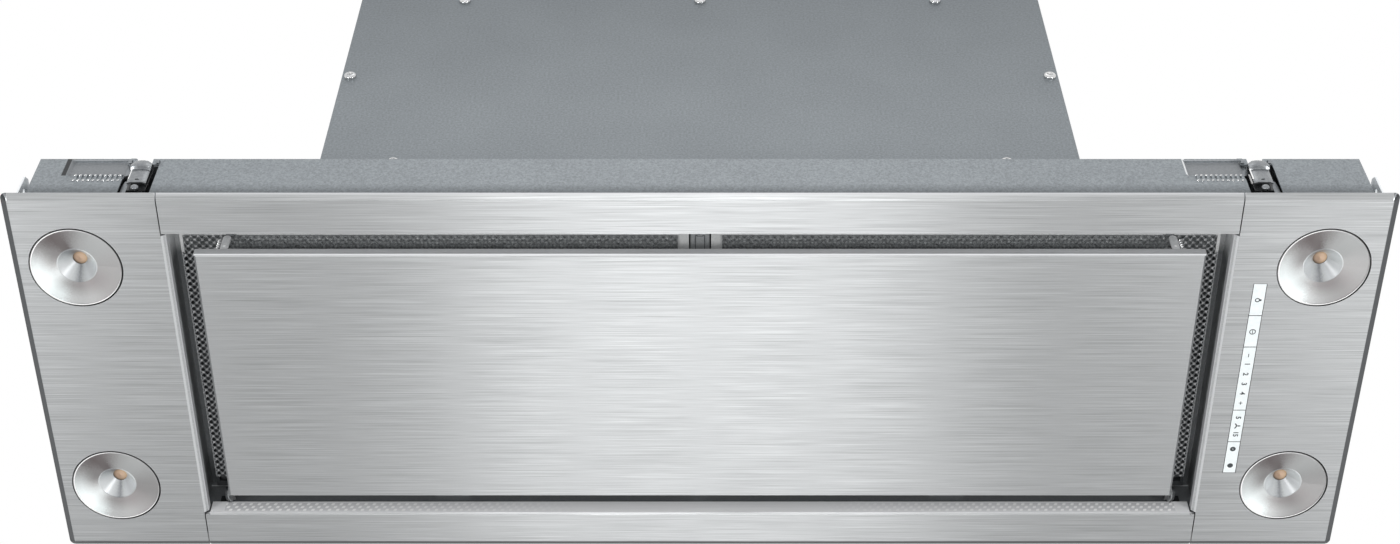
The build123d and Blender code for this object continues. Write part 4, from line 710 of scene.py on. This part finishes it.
# Signs on the keys, printed in grey, their tops towards the right end. A word is its key, its text, its place along
# Y and its size. A shape is its kind, its place from the sign's middle, its size along X and Y, its turn and its
# line's width, where 0 is filled.
keySigns = {
    "x": 360.65, "z": -0.012, "ink": 0.02, "bold": 0.14,
    "words": [
        ("key_level", "1", -13.4, 4.8), ("key_level", "2", -5.1, 4.8), ("key_level", "3", 3.0, 4.8),
        ("key_level", "4", 10.8, 4.8), ("key_timer", "5", 31.3, 4.8), ("key_timer", "15", 45.2, 4.6),
    ],
    "shapes": [
        ("key_light", -64.8, [("ring", -0.3, 0, 3.3, 3.3, 0, 0.7), ("bar", 1.7, 0, 1.2, 1.5, 0, 0)]),
        ("key_power", -39.6, [
            ("ring", 0, 0, 4.3, 4.3, 0, 0.6), ("bar", 0, -0.45, 0.45, 2.0, 0, 0), ("bar", 0, 0.45, 0.45, 2.0, 0, 0),
        ]),
        ("key_level", -20.4, [("bar", 0, 0, 0.55, 2.6, 0, 0)]),
        ("key_level", 18.9, [("bar", 0, 0, 0.55, 2.6, 0, 0), ("bar", 0, 0, 2.4, 0.5, 0, 0)]),
        ("key_timer", 38.3, [
            ("blade", 1.25, 0.0, 2.7, 1.0, 0, 0), ("blade", -0.62, 1.08, 2.7, 1.0, 120, 0),
            ("blade", -0.62, -1.08, 2.7, 1.0, 240, 0),
        ]),
        ("key_filter", 58.1, [("ring", 0, 0, 3.9, 3.9, 0, 1.6)]),
        ("key_filter", 72.4, [("disc", 0, 0, 3.9, 3.9, 0, 0)]),
    ],
}


def printedWord(text, y, size):
    deselectAll()
    at = (keySigns["x"] * mm, y * mm, keySigns["z"] * mm)
    bpy.ops.object.text_add(location=at, rotation=(math.pi, 0, math.pi / 2))
    sign = bpy.context.object
    sign.data.body = text
    sign.data.size = size * mm
    sign.data.align_x = "CENTER"
    sign.data.align_y = "CENTER"
    sign.data.extrude = keySigns["ink"] / 2 * mm
    sign.data.offset = keySigns["bold"] * mm
    sign.data.resolution_u = 3
    bpy.ops.object.convert(target="MESH")
    return settle("sign")


def printedShape(y, shapes):
    made = []
    for kind, awayX, awayY, sizeX, sizeY, turn, line in shapes:
        deselectAll()
        corners, radius, first = (4, math.sqrt(0.5), 45) if kind == "bar" else (24, 0.5, 0)
        bpy.ops.mesh.primitive_circle_add(
            vertices=corners, radius=radius, fill_type="NGON", rotation=(math.pi, 0, math.radians(first)),
        )
        bpy.ops.object.transform_apply(location=False, rotation=True, scale=False)
        sign = bpy.context.object
        sign.scale = (sizeX * mm, sizeY * mm, 1)
        sign.rotation_euler = (0, 0, math.radians(turn))
        sign.location = ((keySigns["x"] + awayX) * mm, (y + awayY) * mm, keySigns["z"] * mm)
        settle("sign")
        if line:
            bpy.ops.object.mode_set(mode="EDIT")
            bpy.ops.mesh.select_mode(type="FACE")
            bpy.ops.mesh.select_all(action="SELECT")
            bpy.ops.mesh.inset(thickness=line * mm)
            bpy.ops.mesh.delete(type="FACE")
        made.append(thicken("sign", keySigns["ink"]))
    return made


keyPrint = {key: [] for key in ("key_light", "key_power", "key_level", "key_timer", "key_filter")}
for key, text, y, size in keySigns["words"]:
    keyPrint[key].append(printedWord(text, y, size))
for key, y, shapes in keySigns["shapes"]:
    keyPrint[key] += printedShape(y, shapes)
for key, signs in keyPrint.items():
    piece = joinPieces(signs)
    piece.name = "keyPrint_" + key.removeprefix("key_")
    dress(piece, signInk, key, smooth=0)
print("key signs")

# Pan heads on the motor box cover, domed, with a round drive recess
panHead = {
    "radius": 4.3, "height": 2.8, "dome": 1.9, "recess": 1.5, "deep": 1.1, "taper": 0.7, "shank": 1.5, "reach": 4.6,
    "face": -120.0, "spots": [(-175, 309), (0, 309), (175, 309), (-246, 195), (246, 195), (-203, 79), (203, 79)],
}


def panScrews():
    screw = panHead
    y = screw["face"] - screw["height"] / 2
    deselectAll()
    bpy.ops.mesh.primitive_cylinder_add(
        vertices=28, radius=screw["radius"] * mm, depth=screw["height"] * mm, location=(0, y * mm, 0),
        rotation=(math.radians(90), 0, 0),
    )
    settle("panScrew")
    pick("EDGE", lambda at, way: at.y < y - 0.5 and abs(way.y) < 1e-6)
    bpy.ops.mesh.bevel(offset=screw["dome"] * mm, segments=5, profile=0.55)
    pick("FACE", lambda at, normal: normal.y < -0.99)
    bpy.ops.mesh.inset(thickness=(screw["radius"] - screw["dome"] - screw["recess"]) * mm)
    extrudeBy(0, screw["deep"], 0)
    bpy.ops.transform.resize(value=(screw["taper"], 1, screw["taper"]))
    pick("FACE", lambda at, normal: normal.y > 0.99)
    bpy.ops.mesh.inset(thickness=(screw["radius"] - screw["shank"]) * mm)
    extrudeBy(0, screw["reach"], 0)
    first = settle("panScrew")
    (firstX, firstZ), *others = screw["spots"]
    first.location = (firstX * mm, 0, firstZ * mm)
    joinPieces([first] + [copyTo(first, x, 0, z) for x, z in others])
    return settle("coverScrewHeads")


dress(panScrews(), zincPlate, "hood", ("cover_screws",), smooth=50)
print("cover screws")

# Ceiling clamps: a plated strip folded over into a domed head, with a flat plate hanging in front. Across, the strip
# has a middle, shoulders and sides, which meet at the distances in columns.
clampHook = {
    "x": 360.5, "width": 12.2, "columns": (3, 5), "sheet": 1.2, "edge": 0.35,
    "back": (-132.45, 24.8, 50.2), "bend": (-135.1, 2.65), "front": [(-137.9, 47.0), (-137.9, 45.0), (-136.9, 44.4)],
    "plate": [(-136.7, 43.6), (-136.7, 36.0), (-136.7, 32.4), (-136.7, 30.9), (-136.5, 28.4)],
    "hole": {"half": 0.5, "low": 31, "high": 32.3, "front": -136},
    "head": {"low": 44.6, "front": -133.5, "dome": 1.1},
    "arch": {"low": 49, "sides": 2.6, "shoulders": 0.78},
    "flare": {"low": 44.2, "wider": 1.1},
    "lean": {"front": -135, "back": 0.9},
    "knob": {"y": -136.0, "z": 23.3, "radius": 2.7, "flat": 0.75, "cut": 0.8},
}


def clampStrip(sideX, sideY, name):
    # Drawn at the front, with outward along -Y, then turned for the rear
    hook = clampHook
    shoulder, side = hook["columns"]
    backY, low, high = hook["back"]
    bendY, bendRadius = hook["bend"]
    path = [(backY, high)]
    for step in range(1, 8):
        turn = math.radians(180 * step / 7)
        path.append((bendY + bendRadius * math.cos(turn), high + bendRadius * math.sin(turn)))
    path += hook["front"] + hook["plate"]
    uprightPlane(name, (0, backY, low), hook["width"], 0.2)
    pick("EDGE", lambda at, way: at.z > low + 0.05 and abs(way.z) < 1e-7)
    lastY, lastZ = backY, low + 0.1
    for y, z in path:
        extrudeBy(0, y - lastY, z - lastZ)
        lastY, lastZ = y, z
    pick("EDGE", lambda at, way: abs(way.x) > 1e-3)
    bpy.ops.mesh.subdivide(number_cuts=4)
    hole = hook["hole"]
    pick("FACE", lambda at, normal: (
        abs(at.x) < hole["half"] and hole["low"] < at.z < hole["high"] and at.y < hole["front"]
    ))
    bpy.ops.mesh.delete(type="FACE")
    # the head swells in the middle, and its sides fall away to an arch
    head, arch = hook["head"], hook["arch"]
    pick("VERT", lambda at, normal: at.z > head["low"] and at.y < head["front"] and abs(at.x) < side)
    moveBy(0, -head["dome"], 0)
    pick("VERT", lambda at, normal: at.z > arch["low"] and abs(at.x) > side)
    moveBy(0, 0, -arch["sides"])
    pick("VERT", lambda at, normal: at.z > arch["low"] and shoulder < abs(at.x) < side)
    moveBy(0, 0, -arch["shoulders"])
    flare, lean = hook["flare"], hook["lean"]
    pick("VERT", lambda at, normal: at.z > flare["low"] and abs(at.x) > side)
    bpy.ops.transform.resize(value=(flare["wider"], 1, 1), center_override=(0, 0, 0))
    # the plate's long edges turn back a little
    pick("VERT", lambda at, normal: at.z < flare["low"] and at.y < lean["front"] and abs(at.x) > side)
    moveBy(0, lean["back"], 0)
    bpy.ops.mesh.select_all(action="SELECT")
    bpy.ops.mesh.normals_make_consistent(inside=False)
    strip = thicken(name, hook["sheet"])
    modify("BEVEL", width=hook["edge"] * mm, segments=2, angle_limit=math.radians(50))
    knob = hook["knob"]
    middle = (0, knob["y"] * mm, knob["z"] * mm)
    deselectAll()
    bpy.ops.mesh.primitive_uv_sphere_add(segments=18, ring_count=10, radius=knob["radius"] * mm, location=middle)
    settle("clampKnob")
    editAll()
    bpy.ops.transform.resize(value=(1, knob["flat"], 1), center_override=middle)
    bpy.ops.mesh.select_all(action="SELECT")
    # its back is cut off, so that it stays clear of the wall as the clamp slides
    cut = (0, (knob["y"] + knob["cut"]) * mm, 0)
    bpy.ops.mesh.bisect(plane_co=cut, plane_no=(0, 1, 0), clear_outer=True, use_fill=True)
    piece = joinPieces([strip, settle("clampKnob")])
    if sideY > 0:
        piece.rotation_euler = (0, 0, math.pi)
    piece.location = (sideX * hook["x"] * mm, 0, 0)
    return settle(name)


for sideX, sideY, word in ((-1, -1, "front_left"), (1, -1, "front_right"), (-1, 1, "rear_left"), (1, 1, "rear_right")):
    hook = clampStrip(sideX, sideY, "clampHook_" + word)
    dress(hook, springNickel, "clamp_" + word, ("clamp_" + word,), smooth=35)
print("clamps")

# Curled lugs at the top corners of each clamp window, and a flat lug low down at its outer side
windowLug = {
    "x": 360.75, "side": 8.8, "y": 134.9, "z": 55.2, "radius": 1.6, "long": 2.6, "sheet": 0.6, "openDown": 0.6,
}
lowLug = {"away": 8.2, "y": 131.4, "low": 12.0, "high": 37.0, "width": 3.6, "sheet": 1.0, "tip": 0.5}

# the front pockets' sheet goes on past the window's edge, nearly to the clamp
pocketReach = {"away": 8.7, "width": 3.4, "y": -132.5, "low": 41.5, "high": 64.0, "cut": 2.5, "sheet": 0.8}


def curledLug(at, sideY):
    # Half of a tube, whose open side looks out and down
    deselectAll()
    bpy.ops.mesh.primitive_cylinder_add(
        vertices=16, radius=windowLug["radius"] * mm, depth=windowLug["long"] * mm, end_fill_type="NOTHING",
        location=at, rotation=(0, math.radians(90), 0),
    )
    settle("lug")
    editAll()
    bpy.ops.mesh.bisect(plane_co=at, plane_no=(0, -sideY, -windowLug["openDown"]), clear_outer=True)
    return thicken("lug", windowLug["sheet"])


def reachPlate(x):
    # Its lower corner towards the clamp is cut away
    low, high = pocketReach["low"], pocketReach["high"]
    uprightPlane("lug", (x, pocketReach["y"], (low + high) / 2), pocketReach["width"], high - low)
    pick("VERT", lambda at, normal: at.z < low + 1 and at.x > x)
    moveBy(0, 0, pocketReach["cut"])
    return thicken("lug", pocketReach["sheet"])


def flatLug(x, y):
    # Its top narrows
    low, high = lowLug["low"], lowLug["high"]
    uprightPlane("lug", (x, y, (low + high) / 2), lowLug["width"], high - low)
    editAll()
    bpy.ops.mesh.subdivide(number_cuts=3)
    pick("VERT", lambda at, normal: at.z > high - 1)
    bpy.ops.transform.resize(value=(lowLug["tip"], 1, 1))
    return thicken("lug", lowLug["sheet"])


def windowLugs():
    lugs = []
    for sideX in (-1, 1):
        middleX = sideX * windowLug["x"]
        for sideY in (-1, 1):
            for away in (-windowLug["side"], windowLug["side"]):
                lugs.append(curledLug(Vector((middleX + away, sideY * windowLug["y"], windowLug["z"])) * mm, sideY))
            if sideY < 0:
                lugs.append(reachPlate(middleX - pocketReach["away"]))
            lugs.append(flatLug(middleX + sideX * lowLug["away"], sideY * lowLug["y"]))
    joinPieces(lugs)
    return settle("windowLugs")


dress(windowLugs(), lugSteel, "hood", smooth=40)
print("window lugs")

# Small beads pressed along the two bends of each wall pocket
pocketBead = {
    "right": 350.5, "window": 20.5, "wide": 37.0, "pitch": 3.2, "first": 0.7, "rows": ((134.9, 40.0), (135.2, 33.5)),
    "size": (1.15, 0.55, 0.8), "turn": 35,
}


def pocketBeads():
    bead = pocketBead
    deselectAll()
    bpy.ops.mesh.primitive_uv_sphere_add(segments=10, ring_count=6, radius=1)
    editAll()
    bpy.ops.transform.resize(value=[v * mm for v in bead["size"]], center_override=(0, 0, 0))
    bpy.ops.transform.rotate(value=math.radians(bead["turn"]), orient_axis="Y", center_override=(0, 0, 0))
    first = settle("pocketBead")
    beads = [
        copyTo(first, turned * (right - (step + bead["first"]) * bead["pitch"]), -turned * y, z)
        for turned in (1, -1)
        for right in (bead["right"], -bead["right"] - bead["window"])
        for y, z in bead["rows"]
        for step in range(int(bead["wide"] / bead["pitch"]) - 1)
    ]
    bpy.data.objects.remove(first)
    joinPieces(beads)
    return settle("pocketBeads")


dress(pocketBeads(), zincPlate, "hood", smooth=60)
print("pocket beads")

# Striker tongues behind the panel's front edge, each with a fine coil at its outer side
striker = {
    "x": 305.6, "y": -98.0, "low": 6.9, "top": 24.8, "width": 5.2, "sheet": 1.6, "round": 0.5,
    "coil": {"away": 4.2, "radius": 0.75, "wire": 0.42, "pitch": 2.6, "turns": 5},
}


def strikerTongue(side):
    half = striker["width"] / 2
    at = Vector((side * striker["x"], striker["y"], striker["top"] - half))
    deselectAll()
    bpy.ops.mesh.primitive_cylinder_add(
        vertices=32, radius=half * mm, depth=striker["sheet"] * mm, location=at * mm, rotation=(math.radians(90), 0, 0),
    )
    settle("tongue")
    editAll()
    bpy.ops.mesh.bisect(plane_co=at * mm, plane_no=(0, 0, -1), clear_outer=True, use_fill=True)
    pick("FACE", lambda middle, normal: normal.z < -0.99)
    extrudeBy(0, 0, striker["low"] - at.z)
    tongue = settle("tongue")
    modify("BEVEL", width=striker["round"] * mm, segments=3, angle_limit=math.radians(60))
    return tongue


def strikerCoil(side):
    coil = striker["coil"]
    deselectAll()
    bpy.ops.mesh.primitive_circle_add(vertices=8, radius=coil["wire"] * mm, rotation=(math.radians(90), 0, 0))
    bpy.context.object.location = (coil["radius"] * mm, 0, 0)
    settle("coil")
    modify(
        "SCREW", angle=2 * math.pi, screw_offset=coil["pitch"] * mm, iterations=coil["turns"], steps=12,
        render_steps=12, axis="Z", use_normal_calculate=True,
    )
    bpy.context.object.location = Vector((side * (striker["x"] + coil["away"]), striker["y"], striker["low"])) * mm
    return settle("coil")


made = [(strikerTongue(side), strikerCoil(side)) for side in (-1, 1)]
joinPieces([tongue for tongue, coil in made])
dress(settle("strikerTongues"), strikerSatin, "panel", ("panel_strikers",), smooth=40)
joinPieces([coil for tongue, coil in made])
dress(settle("strikerCoils"), coilWire, "panel", smooth=40)
print("striker tongues")

# Camera, in front of the hood and below it, looking up
cameraAt = {"place": (0.0, -0.9075, -1.206), "tiltUp": 55.765, "lens": 58.52}
bpy.ops.object.camera_add(location=cameraAt["place"], rotation=(math.radians(90 + cameraAt["tiltUp"]), 0, 0))
camera = bpy.context.object
camera.data.lens = cameraAt["lens"]
camera.data.clip_start = 0.01
camera.data.clip_end = 60
bpy.context.scene.camera = camera

# The floor lies far below, under the camera, as a room's floor does under a ceiling hood, and is matt and even
floorSet = {"size": 30.0, "height": -6.0, "colour": "#bdbdbd"}
bpy.ops.mesh.primitive_plane_add(size=floorSet["size"], location=(0, 0, floorSet["height"]))
floor = bpy.context.object
floor.name = "studioFloor"
floor.data.materials.append(newMaterial("matt floor paint", floorSet["colour"], 0.0, 0.9)[0])

# White all round, with one strength for what is seen or mirrored and one for the light that it gives
worldSet = {"light": 1.0, "shown": 1.0}
world = bpy.data.worlds.new("studio")
bpy.context.scene.world = world
world.use_nodes = True
tree = world.node_tree
tree.nodes.clear()
rays = addNode(tree, "LightPath", {}).node.outputs
seen = addNode(tree, "Math", {0: rays["Is Camera Ray"], 1: rays["Is Glossy Ray"]}, operation="MAXIMUM")
seen = addNode(tree, "Math", {0: seen, 1: rays["Is Transmission Ray"]}, operation="MAXIMUM")
lit, shown = (
    addNode(tree, "Background", {"Color": (1, 1, 1, 1), "Strength": worldSet[part]}) for part in ("light", "shown")
)
addNode(tree, "OutputWorld", {"Surface": addNode(tree, "MixShader", {0: seen, 1: lit, 2: shown})})

# Soft panels: those below and behind are mirrored by the face, and the others light the gap, the front and the top
lamps = {
    "faceLamp": {"place": (0.0, 0.85, -1.7), "aim": (0, -0.1, 0), "size": (0.7, 1.1), "power": 4.0},
    "leftLamp": {"place": (-1.2, 0.72, -1.7), "aim": (-0.3, -0.1, 0), "size": (0.6, 1.0), "power": 2.8},
    "rightLamp": {"place": (1.12, 0.8, -1.7), "aim": (0.3, -0.1, 0), "size": (0.7, 1.1), "power": 2.9},
    "dishLamp": {"place": (0.3, 0.42, -1.7), "aim": (0.1, 0, 0), "size": (2.2, 0.25), "power": 1.0},
    "leftGapLamp": {"place": (-1.6, -0.8, -1.5), "aim": (0, -0.1, 0), "size": (0.4, 0.3), "power": 12},
    "rightGapLamp": {"place": (1.6, -0.8, -1.5), "aim": (0, -0.1, 0), "size": (0.4, 0.3), "power": 12},
    "frontLamp": {"place": (0.0, -3.2, -2.3), "aim": (0, 0, 0), "size": (5.0, 1.5), "power": 19},
    "edgeLamp": {"place": (0.0, -1.67, -1.98), "aim": (0, -0.143, 0), "size": (0.75, 0.35), "power": 5.0},
    "topLamp": {"place": (0.0, -1.68, 1.9), "aim": (0, -0.13, 0.05), "size": (1.0, 0.8), "power": 2.0},
}
for name, lamp in lamps.items():
    bpy.ops.object.light_add(type="AREA", location=lamp["place"])
    light = bpy.context.object
    light.name = name
    light.data.shape = "RECTANGLE"
    light.data.size, light.data.size_y = lamp["size"]
    light.data.energy = lamp["power"]
    light.rotation_euler = (Vector(lamp["aim"]) - Vector(lamp["place"])).to_track_quat("-Z", "Y").to_euler()

bpy.context.scene.view_settings.view_transform = "Standard"
print("camera, floor and lamps set")
